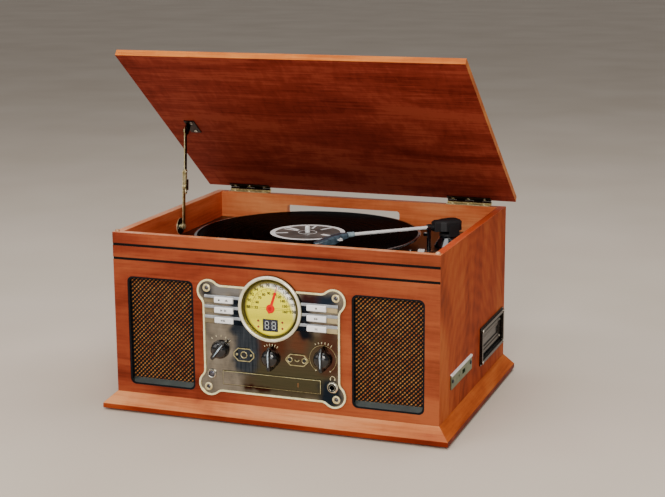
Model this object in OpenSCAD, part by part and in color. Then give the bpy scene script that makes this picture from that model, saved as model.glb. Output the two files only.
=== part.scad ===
// Retro table-top record player: wooden cabinet with a propped hinged lid,
// belt-driven turntable, radio dial with control plate, disc tray in front,
// cassette slot and input sockets in the right side.
// Millimetres, +Z up. X is the width, the front faces -Y.
// Origin: middle of the footprint, on the table.

/* [Cabinet] */
// Cabinet width over the side panels
cab_w = 432; // [426:1:446]
// Cabinet depth over the front and back panels
cab_d = 324; // [318:1:334]
// Cabinet height from the bottom of the moulding to the rim
cab_h = 230.2; // [228:0.1:236]
// Thickness of the cabinet panels
wall_t = 10; // [9:0.5:11]
// Thickness of the bottom board
bottom_t = 9; // [6:0.5:12]
// Height of the rubber feet
foot_h = 3; // [2:0.5:6]
// Diameter of the rubber feet
foot_d = 24; // [16:1:30]
// Height of the base moulding
plinth_h = 20.6; // [16:0.1:26]
// Height of the moulding's upright band
plinth_band = 6.4; // [4:0.1:10]
// Reach of the moulding at the front and the sides
plinth_out = 15; // [10:0.5:18]
// Reach of the moulding at the back
plinth_back = 5.4; // [5.2:0.1:8]
// Height of the two dark inlaid lines
stripe_w = 3.3; // [1.5:0.1:4]
// Depth of the inlaid lines
stripe_d = 1.2; // [0.8:0.1:2]
// Upper inlaid line below the rim
stripe_drop = 13.9; // [12:0.1:18]
// Distance between the two inlaid lines
stripe_gap = 18; // [10:0.5:20]

/* [Lid] */
// Thickness of the lid board
lid_t = 8.1; // [6:0.1:9]
// Overhang of the lid past each cabinet side
lid_side = 13.4; // [8:0.1:14]
// Reach of the lid's front edge from the hinge axis
lid_reach = 350.5; // [338:0.5:356]
// Rear edge of the lid in front of the hinge axis
lid_back = 3.4; // [3.2:0.1:5]
// Opening angle of the lid as it stands
lid_open = 37.55; // [30:0.05:40]
// Underside of the lid above the hinge axis
lid_off = 2.55; // [2.5:0.05:3]
// Height of the bumpers under the lid's front corners
bumper_h = 3; // [2:0.1:3.2]
// Diameter of the bumpers
bumper_d = 6.4; // [5:0.1:8]

/* [Hinges] */
// Length of a hinge
hinge_len = 62; // [50:1:70]
// Middle of each hinge from the cabinet's middle
hinge_x = 164.2; // [150:0.1:172]
// Hinge axis behind the back panel
axis_back = 1.6; // [1.2:0.1:2]
// Hinge axis above the rim
axis_up = 2.75; // [2.7:0.05:3.2]
// Radius of the knuckles
knuckle_r = 2.4; // [2:0.05:2.4]
// Radius of the hinge pins
pin_r = 1.2; // [0.9:0.05:1.4]
// Thickness of the leaves
leaf_t = 1.2; // [0.8:0.1:1.4]
// Reach of a leaf from the hinge axis
leaf_w = 11; // [9:0.5:11.4]
// Gap between neighbouring knuckles
knuckle_gap = 0.3; // [0.2:0.05:0.6]
// Knuckles of a hinge
knuckle_n = 5; // [3:2:7]

/* [Lid stay] */
// Wall pivot of the stay in front of the hinge axis
stay_front = 152.1; // [140:0.1:160]
// Wall pivot of the stay below the hinge axis
stay_down = 27.95; // [24:0.05:30]
// Lid pivot of the stay along the lid from the hinge axis
stay_along = 175.8; // [172:0.1:182]
// Lid pivot of the stay below the lid's underside
stay_drop = 7.3; // [7:0.1:10]
// Length of the lower arm between its pivots
stay_a = 54.6; // [50:0.1:60]
// Reach of the lower arm's catch past the knee
stay_catch = 20; // [10:1:20]
// Width of the arms
stay_w = 7; // [5:0.5:8]
// Thickness of the arms
stay_t = 1.6; // [1.2:0.1:2]
// Diameter of the stay's round wall plate
stay_plate_d = 23; // [18:1:23]
// Radius of the stay's pivots
stay_pin_r = 2; // [1.5:0.1:2.4]
// Stand-off of the lower arm from the wall
stay_stand = 5; // [4:0.1:7]

/* [Deck and platter] */
// Top of the deck below the rim
deck_drop = 37.2; // [35:0.1:40]
// Thickness of the deck
deck_t = 3; // [2:0.5:5]
// Platter axis left of the middle
platter_left = 15.9; // [12:0.1:20]
// Platter axis in front of the back panel's inner face
platter_front = 144.9; // [143:0.1:146]
// Radius of the platter
platter_r = 98; // [94:1:105]
// Record underside above the deck
record_lift = 14.5; // [13:0.5:16]
// Radius of the record
record_r = 150.8; // [149:0.1:151]
// Thickness of the record
record_t = 2; // [1.8:0.1:2.4]
// Radius of the record label
label_r = 50; // [45:1:52]
// Radius of the spindle
spindle_r = 3.5; // [3:0.05:3.6]
// Height of the spindle above the record
spindle_top = 9.5; // [7:0.5:11]
// Radius of the drive ring under the platter
ring_r = 79; // [76:0.5:79]
// Radius of the motor pulley's groove
pulley_r = 5; // [4:0.1:5.2]
// Motor axis from the platter axis
motor_off = 87; // [86.5:0.1:87.2]
// Thickness of the drive belt
belt_t = 0.8; // [0.6:0.1:0.8]
// Height of the drive belt
belt_h = 3.5; // [3:0.1:4]
// Radius of the motor can
motor_r = 13.5; // [11:0.5:15]
// Height of the motor can
motor_h = 21; // [18:1:24]

/* [Tonearm] */
// Tonearm pivot right of the middle
arm_x = 166; // [163:0.5:168]
// Tonearm pivot in front of the back panel's inner face
arm_front = 96.8; // [90:0.5:100]
// Direction of the tonearm, from +X
arm_dir = 222.5; // [216:0.5:226]
// Reach of the stylus from the pivot
arm_len = 188; // [184:1:190]
// Tonearm axis above the deck
arm_up = 27.8; // [27:0.1:28.2]
// Radius of the arm tube
tube_r = 2.3; // [2:0.1:2.6]
// Swing of the arm from its place to the arm rest
arm_park = 22.5; // [21:0.5:24]
// Length of the rear housing
housing_len = 38; // [34:1:40]
// Width of the rear housing
housing_w = 22; // [18:1:23]
// Height of the rear housing
housing_h = 14.5; // [13:0.5:15]
// Radius of the tonearm base on the deck
arm_base_r = 20; // [18:0.5:22]
// Radius of the vertical bearing shaft
arm_shaft_r = 4; // [3:0.1:5]
// Distance of the arm rest from the pivot
rest_out = 47.5; // [44:0.5:50]

/* [Control plate] */
// Half width of the plate between its lobes
plate_half_w = 91; // [88:0.5:93]
// Half height of the plate between its lobes
plate_half_h = 69; // [67:0.5:70]
// Middle of the plate above the table
plate_z = 107; // [106:0.5:108]
// Middle of a corner lobe, sideways
lobe_x = 83; // [81:0.5:84]
// Middle of a corner lobe, up and down
lobe_z = 59.8; // [59:0.2:61]
// Radius of the corner lobes
lobe_r = 15.6; // [14.5:0.1:16]
// Radius of the hollow between a lobe and an edge
neck_r = 10; // [8:0.5:12]
// Thickness of the plate
plate_t = 1.6; // [1:0.1:2.4]
// Width of the raised bead round the plate
bead_w = 2.4; // [1.6:0.1:3]
// Height of the raised bead
bead_t = 1.6; // [1:0.1:2]
// Half width of the cut-out behind the plate
cut_half_w = 78; // [77.5:0.1:79]
// Head radius of the four plate screws
plate_screw_r = 5.2; // [4:0.1:6]

/* [Dial] */
// Middle of the dial above the table
dial_z = 151; // [150:0.2:152]
// Outer radius of the bezel
bezel_r = 42; // [41:0.2:43]
// Inner radius of the bezel
bezel_in = 36; // [35:0.2:37]
// Depth of the bezel
bezel_d = 6.5; // [6:0.5:11]
// Pointer length from its axis
pointer_len = 27.6; // [22:0.2:30]
// Radius of the pointer's round hub
hub_r = 5.5; // [3.5:0.1:7]
// Pointer angle, clockwise from upright
pointer_at = 17.8; // [-60:0.1:60]
// Width of the number display
display_w = 20.4; // [16:0.2:24]
// Height of the number display
display_h = 15.5; // [12:0.5:17]

/* [Buttons and knobs] */
// Middle of the buttons from the plate's middle
button_x = 61.5; // [59:0.5:62.5]
// Width of a button
button_w = 25; // [22:0.5:26]
// Height of a button
button_h = 7.8; // [6:0.2:8.4]
// Middle row of buttons above the table
button_z = 144.3; // [143:0.1:145]
// Distance between the button rows
button_pitch = 13; // [12.6:0.1:13.2]
// Travel of a button
button_travel = 1.2; // [0.8:0.1:1.4]
// Height of the buttons above the chrome bars
button_out = 2; // [1.8:0.1:4]
// Height of a chrome bar
bar_h = 10.4; // [9.6:0.2:11]
// Depth of a chrome bar
bar_d = 2; // [1.6:0.1:4]
// Radius of the knobs
knob_r = 11.75; // [10:0.25:12.5]
// Length of the knobs' grip bar
grip_len = 32; // [26:1:34]
// Width of the grip bar
grip_w = 5.6; // [4:0.2:7]
// Height of a knob's body
knob_d = 8.6; // [7:0.2:9.4]
// Height of the grip bar
grip_d = 13; // [12:0.2:13]
// Outer knobs from the middle
knob_x = 68.5; // [66:0.5:69]
// Outer knobs above the table
knob_z = 93; // [92:0.5:95]
// Middle knob above the table
tuner_z = 88; // [87:0.5:90]
// Radius of the knob shafts
shaft_r = 3; // [2.5:0.1:3.4]

/* [Disc tray] */
// Width of the tray front
tray_w = 131.2; // [126:0.2:133]
// Height of the tray front
tray_h = 17.6; // [16:0.2:18]
// Middle of the tray front above the table
tray_z = 57; // [56.5:0.1:58]
// Width of the tray behind its front
tray_in_w = 124; // [122:1:125]
// Length of the tray
tray_len = 148; // [140:1:152]
// Radius of the disc well in the tray
well_r = 60.5; // [60.2:0.1:61]
// Gap round the tray front
tray_gap = 0.5; // [0.3:0.1:0.8]

/* [Speaker grilles] */
// Middle of each grille from the cabinet's middle
grille_x = 151.2; // [150:0.2:152]
// Wood between the moulding and a grille
grille_low = 11; // [8:0.05:16]
// Wood between a grille and the lower inlaid line
grille_high = 20.7; // [14:0.1:26]
// Width of a grille opening
grille_w = 92; // [86:0.5:92]
// Corner radius of a grille opening
grille_r = 7.5; // [5:0.5:10]
// Wall of the grille frames
frame_t = 2.4; // [1.6:0.2:3.4]
// Front of the grille frames behind the cabinet face
frame_in = 0.8; // [0.4:0.1:1.5]
// Height of the sloped sill at the foot of a grille
sill_h = 8; // [5:0.5:10]
// Cloth behind the cabinet face
cloth_in = 6.5; // [4:0.5:7]
// Thickness of the grille cloth
cloth_t = 0.8; // [0.6:0.1:1.2]
// Radius of a speaker cone
cone_r = 38; // [34:0.5:40]
// Depth of a speaker behind the front panel
speaker_d = 36; // [30:1:50]
// Radius of a speaker magnet
magnet_r = 30; // [24:1:34]
// Margin of a speaker baffle round its opening
baffle_edge = 5; // [4:0.5:6]

/* [Cassette slot] */
// Middle of the cassette bezel in front of the rear edge
cass_front = 73; // [72:0.5:80]
// Middle of the cassette bezel above the table
cass_z = 68.8; // [66:0.2:72]
// Width of the cassette bezel
cass_w = 124; // [122:1:128]
// Height of the cassette bezel
cass_h = 51.5; // [50:0.5:54]
// Height of the bezel above the panel
cass_d = 3.5; // [2.5:0.1:4]
// Width of the slot
slot_w = 106; // [104:0.5:107]
// Height of the slot
slot_h = 35; // [33:0.5:36]
// Thickness of the flap
flap_t = 2.2; // [1.8:0.1:2.6]

/* [Socket plates] */
// Middle of the input plate behind the front corner
input_back = 96.2; // [94:0.2:98]
// Middle of the input plate above the table
input_z = 63.8; // [62:0.2:66]
// Width of the input plate
input_w = 97.5; // [94:0.5:100]
// Height of the input plate
input_h = 19.5; // [18:0.5:21]
// Thickness of the input plate
input_t = 1.6; // [1.2:0.1:2]

/* [Hidden] */
$fn = 72;

// Running fit of a shaft in its bore, and slack round a loose part
fit = 0.05;
slack = 0.3;
eps = 1;

// Cabinet faces
half_w = cab_w / 2;
cab_cy = (plinth_out - plinth_back) / 2;
front_y = cab_cy - cab_d / 2;
back_y = cab_cy + cab_d / 2;
in_x = half_w - wall_t;
in_f = front_y + wall_t;
in_b = back_y - wall_t;
floor_z = foot_h + bottom_t;
rim_z = foot_h + cab_h;
deck_z = rim_z - deck_drop;
deck_under = deck_z - deck_t;
low_stripe_z = rim_z - stripe_drop - stripe_gap - stripe_w / 2 - 1.6;
grille_z0 = foot_h + plinth_h + grille_low;
grille_h = low_stripe_z - grille_high - grille_z0;
grille_z = grille_z0 + grille_h / 2;

// Hinge axis and stay pivots
hinge_y = back_y + axis_back;
hinge_z = rim_z + axis_up;
knuckle_len = hinge_len / knuckle_n;
leaf_notch = knuckle_r + 0.4;
stay_by = hinge_y - stay_front;
stay_bz = hinge_z - stay_down;
stay_pz0 = lid_off - stay_drop;
stay_py = hinge_y - stay_along * cos(lid_open) + stay_pz0 * sin(lid_open);
stay_pz = hinge_z + stay_along * sin(lid_open) + stay_pz0 * cos(lid_open);
stay_span = norm([stay_py - stay_by, stay_pz - stay_bz]);
stay_b = stay_span - stay_a;
stay_ang = atan2(stay_pz - stay_bz, stay_py - stay_by);
stay_plate_t = 1.5;
lower_x = -in_x + stay_stand;
upper_x = lower_x + stay_t + 0.4;
ear_x = upper_x + stay_t + 0.4;
ear_t = 1.6;

// Platter, motor and belt
platter_x = -platter_left;
platter_y = in_b - platter_front;
record_z = deck_z + record_lift;
web_z = record_z - 4;
skirt_z = deck_z + 3;
skirt_t = 3;
ring_t = 3;
bearing_r = 8;
bearing_z = deck_z - 20;
flange_t = 0.5;
motor_at = 215;
belt_z = deck_z + 5;
pulley_flange = 1.2;

// Tonearm
arm_y = in_b - arm_front;
arm_z = deck_z + arm_up;
arm_base_z = deck_z + 15;
yoke_z = arm_base_z + slack;
yoke_t = 2.7;
yoke_in = housing_w / 2 + slack;
yoke_wall = 2.8;
arm_pin_r = 1.5;
post_r = 2.6;
housing_rear = 14;

// Control plate
face_y = front_y - plate_t;
plate_hole = 0.3;
cut_top = 168;
cut_bottom = 42;
card_t = 1;
lens_z = 3.8;
lens_t = 1.5;
board_d = 15.3;
board_t = 1.6;
board_side = 11;
board_low = 77;
board_drop = 14;
board_top = deck_under - board_drop;
board_post = 10;
pot_r = 8;
pot_d = 8;
shaft_end = 12;
screw_dx = 2.7;
screw_dz = 4.2;
lamp_x = -80.7;
lamp_z = 60.3;
jack_x = 80.9;
jack_z = 58.3;
jack_r = 7.3;

// Cassette slot
cass_y = back_y - cass_front;
sleeve_t = 2;
flap_axis_x = half_w - 3;
flap_axis_z = cass_z + slot_h / 2 - 2.2;
flap_pin_r = 1.2;
input_y = front_y + input_back;

// helpers

module box(x0, x1, y0, y1, z0, z1) {
  translate([x0, y0, z0]) cube([x1 - x0, y1 - y0, z1 - z0]);
}

module rrect(w, h, r) {
  square([w - 2 * r, h], center = true);
  square([w, h - 2 * r], center = true);
  for (sx = [-1, 1], sy = [-1, 1])
    translate([sx * (w / 2 - r), sy * (h / 2 - r)]) circle(r = r);
}

module lozenge(w, h, c) {
  polygon([
    [-w / 2 + c, -h / 2], [w / 2 - c, -h / 2], [w / 2, -h / 2 + c],
    [w / 2, h / 2 - c], [w / 2 - c, h / 2], [-w / 2 + c, h / 2],
    [-w / 2, h / 2 - c], [-w / 2, -h / 2 + c]
  ]);
}

// Frame on the cabinet face: x right, y up, z outward
module on_front(x, z, out = 0) {
  translate([x, front_y - out, z]) rotate([90, 0, 0]) children();
}

// Frame on the right side: x to the rear, y up, z outward
module on_right(y, z, out = 0) {
  translate([half_w + out, y, z]) rotate([90, 0, 90]) children();
}

// Frame on the back: y up, z outward
module on_back(x, z, out = 0) {
  translate([x, back_y + out, z]) rotate([90, 0, 180]) children();
}

// Lid frame: origin on the hinge axis, drawn as when closed
module on_lid() {
  translate([0, hinge_y, hinge_z]) rotate([-lid_open, 0, 0]) children();
}

// Tonearm frame: x along the arm, z up from the table
module on_arm() {
  translate([arm_x, arm_y, 0]) rotate([0, 0, arm_dir]) children();
}

module rod_x(r, x0, x1) {
  translate([x0, 0, 0]) rotate([0, 90, 0]) cylinder(r = r, h = x1 - x0);
}

module screw(head_r, head_h, shank_r, shank_len) {
  difference() {
    union() {
      cylinder(r = head_r, h = head_h);
      translate([0, 0, -shank_len]) cylinder(r = shank_r, h = shank_len);
    }
    for (a = [0, 90]) rotate([0, 0, a])
      translate([-head_r * 0.55, -head_r * 0.11, head_h * 0.45])
        cube([head_r * 1.1, head_r * 0.22, head_h]);
  }
}

// Places of the screws, also used for their pilot holes
module plate_screw_places() {
  for (sx = [-1, 1], sz = [-1, 1])
    on_front(sx * (lobe_x + screw_dx), plate_z + sz * (lobe_z + screw_dz), plate_t)
      children();
}

module bezel_screw_places() {
  for (sy = [-1, 1], sz = [-1, 1])
    on_right(cass_y + sy * (cass_w / 2 - 5), cass_z + sz * (cass_h / 2 - 4.5), cass_d)
      children();
}

module input_screw_places() {
  for (s = [-1, 1]) on_right(input_y + s * (input_w / 2 - 6), input_z, input_t)
    children();
}

module rim_screw_places() {
  for (s = [-1, 1], k = [-1, 0, 1])
    translate([s * hinge_x + k * hinge_len * 0.36, hinge_y - leaf_w / 2 - 1.2, rim_z + leaf_t])
      children();
}

module lid_screw_places() {
  for (s = [-1, 1], k = [-1, 0, 1])
    on_lid()
      translate([s * hinge_x + k * hinge_len * 0.36, -leaf_w / 2 - 1.2, lid_off - leaf_t])
        mirror([0, 0, 1]) children();
}

module stay_lid_screw_places() {
  for (k = [-1, 1]) on_lid()
    translate([ear_x + 9, -stay_along + k * 10, lid_off - stay_plate_t])
      mirror([0, 0, 1]) children();
}

module stay_wall_screw_places() {
  for (k = [-1, 1])
    translate([-in_x + stay_plate_t, stay_by + k * stay_plate_d * 0.33, stay_bz])
      rotate([0, 90, 0]) children();
}

wood_screw_r = 1.2;
wood_screw_len = 6;
module pilot(extra = 0) {
  translate([0, 0, -wood_screw_len - extra - 0.3])
    cylinder(r = wood_screw_r + fit, h = wood_screw_len + extra + 0.3 + eps);
}

// cabinet

module base_moulding() {
  x1 = half_w + plinth_out;
  y0 = front_y - plinth_out;
  y1 = back_y + plinth_back;
  color("sienna") difference() {
    intersection() {
      translate([-x1, 0, foot_h]) rotate([90, 0, 90]) linear_extrude(2 * x1)
        polygon([[y0, 0], [y1, 0], [y1, plinth_band], [back_y, plinth_h],
                 [front_y, plinth_h], [y0, plinth_band]]);
      translate([0, y1, foot_h]) rotate([90, 0, 0]) linear_extrude(y1 - y0)
        polygon([[-x1, 0], [x1, 0], [x1, plinth_band], [half_w, plinth_h],
                 [-half_w, plinth_h], [-x1, plinth_band]]);
    }
    box(-half_w, half_w, front_y, back_y, foot_h - eps, foot_h + plinth_h + eps);
  }
}

module foot_places() {
  for (sx = [-1, 1], sy = [-1, 1])
    translate([sx * (in_x - foot_d / 2 - 4), cab_cy + sy * (cab_d / 2 - wall_t - foot_d / 2 - 4), 0])
      children();
}

module bottom_panel() {
  color("peru") difference() {
    box(-in_x, in_x, in_f, in_b, foot_h, floor_z);
    for (sx = [-1, 1], i = [0:4])
      translate([sx * vent_x, cab_cy + (i - 2) * vent_pitch, foot_h - eps])
        linear_extrude(bottom_t + 2 * eps) rrect(vent_len, vent_w, 2.4);
    foot_places() translate([0, 0, foot_h - eps]) cylinder(r = 2.2 + fit, h = bottom_t + 2 * eps);
  }
}

module rubber_feet() {
  color("dimgray") {
    foot_places() {
      rotate_extrude()
        polygon([[0, 0], [foot_d / 2 - 1, 0], [foot_d / 2, foot_h], [2.2, foot_h],
                 [2.2, floor_z - 1], [0, floor_z - 1]]);
    }
    for (sx = [-1, 1])
      translate([sx * (half_w - wall_t / 2), front_y + wall_t / 2, rim_z]) rotate_extrude()
        polygon([[0, 0], [bumper_d / 2, 0], [bumper_d / 2 - 0.6, bumper_h * 0.8],
                 [bumper_d / 2 - 1.4, bumper_h], [0, bumper_h]]);
  }
}

module front_panel() {
  color("chocolate") difference() {
    box(-half_w, half_w, front_y, in_f, foot_h, rim_z);
    for (s = [-1, 1]) on_front(s * grille_x, grille_z, -wall_t - eps)
      linear_extrude(wall_t + 2 * eps) rrect(grille_w, grille_h, grille_r);
    box(-cut_half_w, cut_half_w, front_y - eps, in_f + eps, cut_bottom, cut_top);
    on_front(jack_x, jack_z, -wall_t - eps) cylinder(r = 5.4, h = wall_t + 2 * eps);
    on_front(lamp_x, lamp_z, -wall_t - eps) cylinder(r = 4, h = wall_t + 2 * eps);
    for (i = [0, 1])
      box(-half_w - eps, half_w + eps, front_y - eps, front_y + stripe_d,
          rim_z - stripe_drop - i * stripe_gap - stripe_w / 2 - 1.6,
          rim_z - stripe_drop - i * stripe_gap + stripe_w / 2 - 1.6);
    plate_screw_places() pilot(plate_t);
  }
}

module front_stripes() {
  color("black") for (i = [0, 1])
    box(-half_w + 0.5, half_w - 0.5, front_y + 0.15, front_y + stripe_d,
        rim_z - stripe_drop - i * stripe_gap - stripe_w / 2 - 1.6,
        rim_z - stripe_drop - i * stripe_gap + stripe_w / 2 - 1.6);
}

module left_side_panel() {
  color("sienna") difference() {
    box(-half_w, -in_x, in_f, back_y, foot_h, rim_z);
    stay_wall_screw_places() pilot(stay_plate_t);
  }
}

module right_side_panel() {
  color("sienna") difference() {
    box(in_x, half_w, in_f, back_y, foot_h, rim_z);
    on_right(cass_y, cass_z, -wall_t - eps) linear_extrude(wall_t + 2 * eps)
      rrect(slot_w + 2 * sleeve_t + 0.6, slot_h + 2 * sleeve_t + 0.6, 2);
    on_right(input_y, input_z, -wall_t - eps) linear_extrude(wall_t + 2 * eps)
      rrect(input_w - 26, input_h - 5.5, 2);
    bezel_screw_places() pilot(cass_d);
    input_screw_places() pilot(input_t);
  }
}

vent_x = 150;
vent_len = 70;
vent_w = 5;
vent_pitch = 16;
back_vent_w = 6;
back_vent_h = 44;
back_vent_pitch = 20;
back_vent_drop = 43;
slot_left = -103;
slot_right = 66;
slot_top_drop = 14.6;
slot_low = 5.5;

module back_panel() {
  s_top = rim_z - slot_top_drop;
  s_bot = record_z - slot_low;
  color("sienna") difference() {
    box(-in_x, in_x, in_b, back_y, foot_h, rim_z);
    on_back((slot_left + slot_right) / 2, (s_top + s_bot) / 2, -wall_t - eps)
      linear_extrude(wall_t + 2 * eps) rrect(slot_right - slot_left, s_top - s_bot, 4);
    for (i = [-3:3]) on_back(i * back_vent_pitch, deck_under - back_vent_drop, -wall_t - eps)
      linear_extrude(wall_t + 2 * eps) rrect(back_vent_w, back_vent_h, 2.9);
    on_back(rear_x, rear_z, -wall_t - eps) linear_extrude(wall_t + 2 * eps)
      rrect(rear_w - 16, rear_h - 12, 2);
    rim_screw_places() pilot(leaf_t);
  }
}

module fixed_knuckles(odd) {
  for (k = [0:knuckle_n - 1]) if (k % 2 == odd)
    rod_x(knuckle_r, -hinge_len / 2 + k * knuckle_len + knuckle_gap / 2,
          -hinge_len / 2 + (k + 1) * knuckle_len - knuckle_gap / 2);
}

module knuckle_notches(odd, z0, z1) {
  for (k = [0:knuckle_n - 1]) if (k % 2 == odd)
    box(-hinge_len / 2 + k * knuckle_len - knuckle_gap / 2,
        -hinge_len / 2 + (k + 1) * knuckle_len + knuckle_gap / 2,
        -leaf_notch, leaf_notch, z0, z1);
}

module hinge_fixed_leaves() {
  color("darkgoldenrod") for (s = [-1, 1]) translate([s * hinge_x, hinge_y, hinge_z]) {
    difference() {
      union() {
        fixed_knuckles(0);
        box(-hinge_len / 2, hinge_len / 2, -leaf_w, 0, -axis_up, -axis_up + leaf_t);
      }
      knuckle_notches(1, -axis_up - eps, axis_up);
      for (k = [-1, 0, 1]) translate([k * hinge_len * 0.36, -leaf_w / 2 - 1.2, -axis_up - eps])
        cylinder(r = wood_screw_r + fit, h = leaf_t + 2 * eps);
      rod_x(pin_r - 0.01, -hinge_len, hinge_len);
    }
    rod_x(pin_r, -hinge_len / 2, hinge_len / 2);
  }
}

module stay_wall_bracket() {
  color("darkgoldenrod") translate([-in_x, stay_by, stay_bz]) {
    difference() {
      rod_x(stay_plate_d / 2, 0, stay_plate_t);
      for (k = [-1, 1]) translate([0, k * stay_plate_d * 0.33, 0])
        rod_x(wood_screw_r + fit, -eps, stay_plate_t + eps);
    }
    rod_x(stay_pin_r + 1.5, 0, stay_stand - 0.15);
    rod_x(stay_pin_r, 0, stay_stand + stay_t + 0.3);
    rod_x(stay_pin_r + 1.4, stay_stand + stay_t + 0.15, stay_stand + stay_t + 1.2);
  }
}

// deck, platter and drive

motor_x = platter_x + motor_off * cos(motor_at);
motor_y = platter_y + motor_off * sin(motor_at);
speed_x = arm_x - 25;
speed_y = arm_y - 64;
cue_x = arm_x + 19;
cue_y = arm_y - 38;

module deck_plate() {
  color("dimgray") difference() {
    box(-in_x, in_x, in_f, in_b, deck_under, deck_z);
    translate([platter_x, platter_y, deck_under - eps])
      cylinder(r = bearing_r + fit, h = deck_t + 2 * eps);
    translate([motor_x, motor_y, deck_under - eps])
      cylinder(r = pulley_r + pulley_flange + 1, h = deck_t + 2 * eps);
    translate([arm_x, arm_y, deck_under - eps])
      cylinder(r = arm_shaft_r + 4, h = deck_t + 2 * eps);
    translate([speed_x, speed_y, deck_under - eps])
      cylinder(r = 2.5 + fit, h = deck_t + 2 * eps);
  }
}

module platter_bearing() {
  color("goldenrod") translate([platter_x, platter_y, 0]) rotate_extrude()
    polygon([[0, bearing_z - 3], [bearing_r, bearing_z - 3], [bearing_r, deck_z],
             [14, deck_z], [14, deck_z + flange_t], [spindle_r + fit, deck_z + flange_t],
             [spindle_r + fit, bearing_z], [0, bearing_z]]);
}

module platter() {
  h_ring = web_z - (deck_z + 3.5);
  color("black") translate([platter_x, platter_y, 0]) rotate_extrude() difference() {
    translate([spindle_r, deck_z + flange_t + slack])
      square([platter_r - spindle_r, record_z - deck_z - flange_t - slack]);
    translate([12, deck_z]) square([ring_r - ring_t - 12, web_z - deck_z]);
    translate([ring_r, deck_z]) square([platter_r - skirt_t - ring_r, web_z - deck_z]);
    translate([12, deck_z]) square([platter_r, 3]);
  }
}

module spindle() {
  top = record_z + record_t + spindle_top;
  color("silver") translate([platter_x, platter_y, 0]) rotate_extrude()
    polygon([[0, bearing_z + slack], [spindle_r, bearing_z + slack],
             [spindle_r, top - 2.5], [spindle_r * 0.8, top - 1],
             [spindle_r * 0.4, top], [0, top]]);
}

module record() {
  hole = spindle_r + 0.1;
  color("black") translate([platter_x, platter_y, record_z]) rotate_extrude()
    polygon([[hole, 0], [record_r - 0.8, 0], [record_r, 0.5],
             [record_r, record_t - 0.7], [record_r - 0.8, record_t - 0.1],
             [record_r - 4, record_t - 0.1], [record_r - 5, record_t - 0.4],
             [label_r + 9, record_t - 0.4], [label_r + 8, record_t - 0.2],
             [label_r + 0.5, record_t - 0.2], [label_r, record_t], [hole, record_t]]);
}

module drive_motor() {
  color("silver") translate([motor_x, motor_y, 0]) difference() {
    union() {
      translate([0, 0, deck_under - motor_h]) cylinder(r = motor_r, h = motor_h);
      translate([0, 0, deck_under - 1.5]) linear_extrude(1.5)
        rrect(2 * motor_r + 16, 14, 6);
    }
    translate([0, 0, deck_under - motor_h + 3]) cylinder(r = 1 + fit, h = motor_h);
  }
}

module motor_pulley() {
  color("goldenrod") translate([motor_x, motor_y, 0]) rotate_extrude()
    polygon([[0, deck_under - motor_h + 3.3], [1, deck_under - motor_h + 3.3],
             [1, belt_z - 1.2], [pulley_r + pulley_flange, belt_z - 1.2],
             [pulley_r + pulley_flange, belt_z - 0.4], [pulley_r, belt_z - 0.4],
             [pulley_r, belt_z + belt_h + 0.4],
             [pulley_r + pulley_flange, belt_z + belt_h + 0.4],
             [pulley_r + pulley_flange, belt_z + belt_h + 1],
             [0, belt_z + belt_h + 1]]);
}

// Loop outline round the drive ring and the pulley, grown by g
module belt_loop(g) {
  r1 = ring_r + slack + g;
  r2 = pulley_r + slack + g;
  phi = acos((r1 - r2) / motor_off);
  polygon(concat(arc([0, 0], r1, phi, 360 - phi, 90), arc([motor_off, 0], r2, -phi, phi, 16)));
}

module drive_belt() {
  color("black") translate([platter_x, platter_y, belt_z]) rotate([0, 0, motor_at])
    linear_extrude(belt_h) difference() {
      belt_loop(belt_t);
      belt_loop(0);
    }
}

module speed_lever() {
  color("silver") translate([speed_x, speed_y, 0]) {
    translate([0, 0, deck_under - 4]) cylinder(r = 2.5, h = deck_t + 4.3);
    translate([0, 0, deck_z + slack]) cylinder(r = 5, h = 1.8);
    translate([0, 0, deck_z + slack]) linear_extrude(1.8) translate([-5.5, 0])
      square([11, 5], center = true);
    box(-11, -8.5, -2.5, 2.5, deck_z + slack, deck_z + 6.5);
    translate([0, 0, deck_under - 4]) cylinder(r = 4.5, h = 3.7);
  }
}

// tonearm

module tonearm_base() {
  rx = arm_x + rest_out * cos(arm_dir + arm_park) - rest_side * sin(arm_dir + arm_park);
  ry = arm_y + rest_out * sin(arm_dir + arm_park) + rest_side * cos(arm_dir + arm_park);
  color("black") {
    translate([arm_x, arm_y, 0]) rotate_extrude()
      polygon([[arm_shaft_r + fit, deck_z - 6], [arm_shaft_r + 3.5, deck_z - 6],
               [arm_shaft_r + 3.5, deck_z], [arm_base_r, deck_z],
               [arm_base_r, deck_z + 2], [arm_base_r - 7, arm_base_z - 2],
               [arm_base_r - 7, arm_base_z], [arm_shaft_r + fit, arm_base_z]]);
    translate([rx, ry, 0]) rotate([0, 0, arm_dir + arm_park]) {
      translate([0, 0, deck_z]) cylinder(r = post_r, h = arm_up + 5);
      translate([0, 0, deck_z]) cylinder(r = post_r + 2.5, h = 2);
      box(-2, 2, -rest_side - tube_r, 0, arm_z - tube_r - 4, arm_z - tube_r - slack);
    }
    translate([cue_x, cue_y, 0]) for (s = [0, 1]) translate([s * 9.6 - 6.3, 0, 0])
      difference() {
        union() {
          box(0, 3, -4, 4, deck_z, deck_z + 8);
          translate([0, 0, deck_z + 8]) rod_x(4, 0, 3);
        }
        translate([0, 0, deck_z + 8]) rod_x(1.5 + fit, -eps, 3 + eps);
      }
  }
}
rest_side = tube_r + 0.6 + post_r;

module cue_lever() {
  color("gray") translate([cue_x, cue_y, deck_z + 8]) {
    rod_x(1.5, -6.3, 6.3);
    rod_x(3.2, -3, 3);
    rotate([-35, 0, 0]) {
      box(-1.6, 1.6, -20, 0, -1.4, 1.4);
      translate([0, -20, 0]) rod_x(2.8, -3, 3);
    }
  }
}

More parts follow.
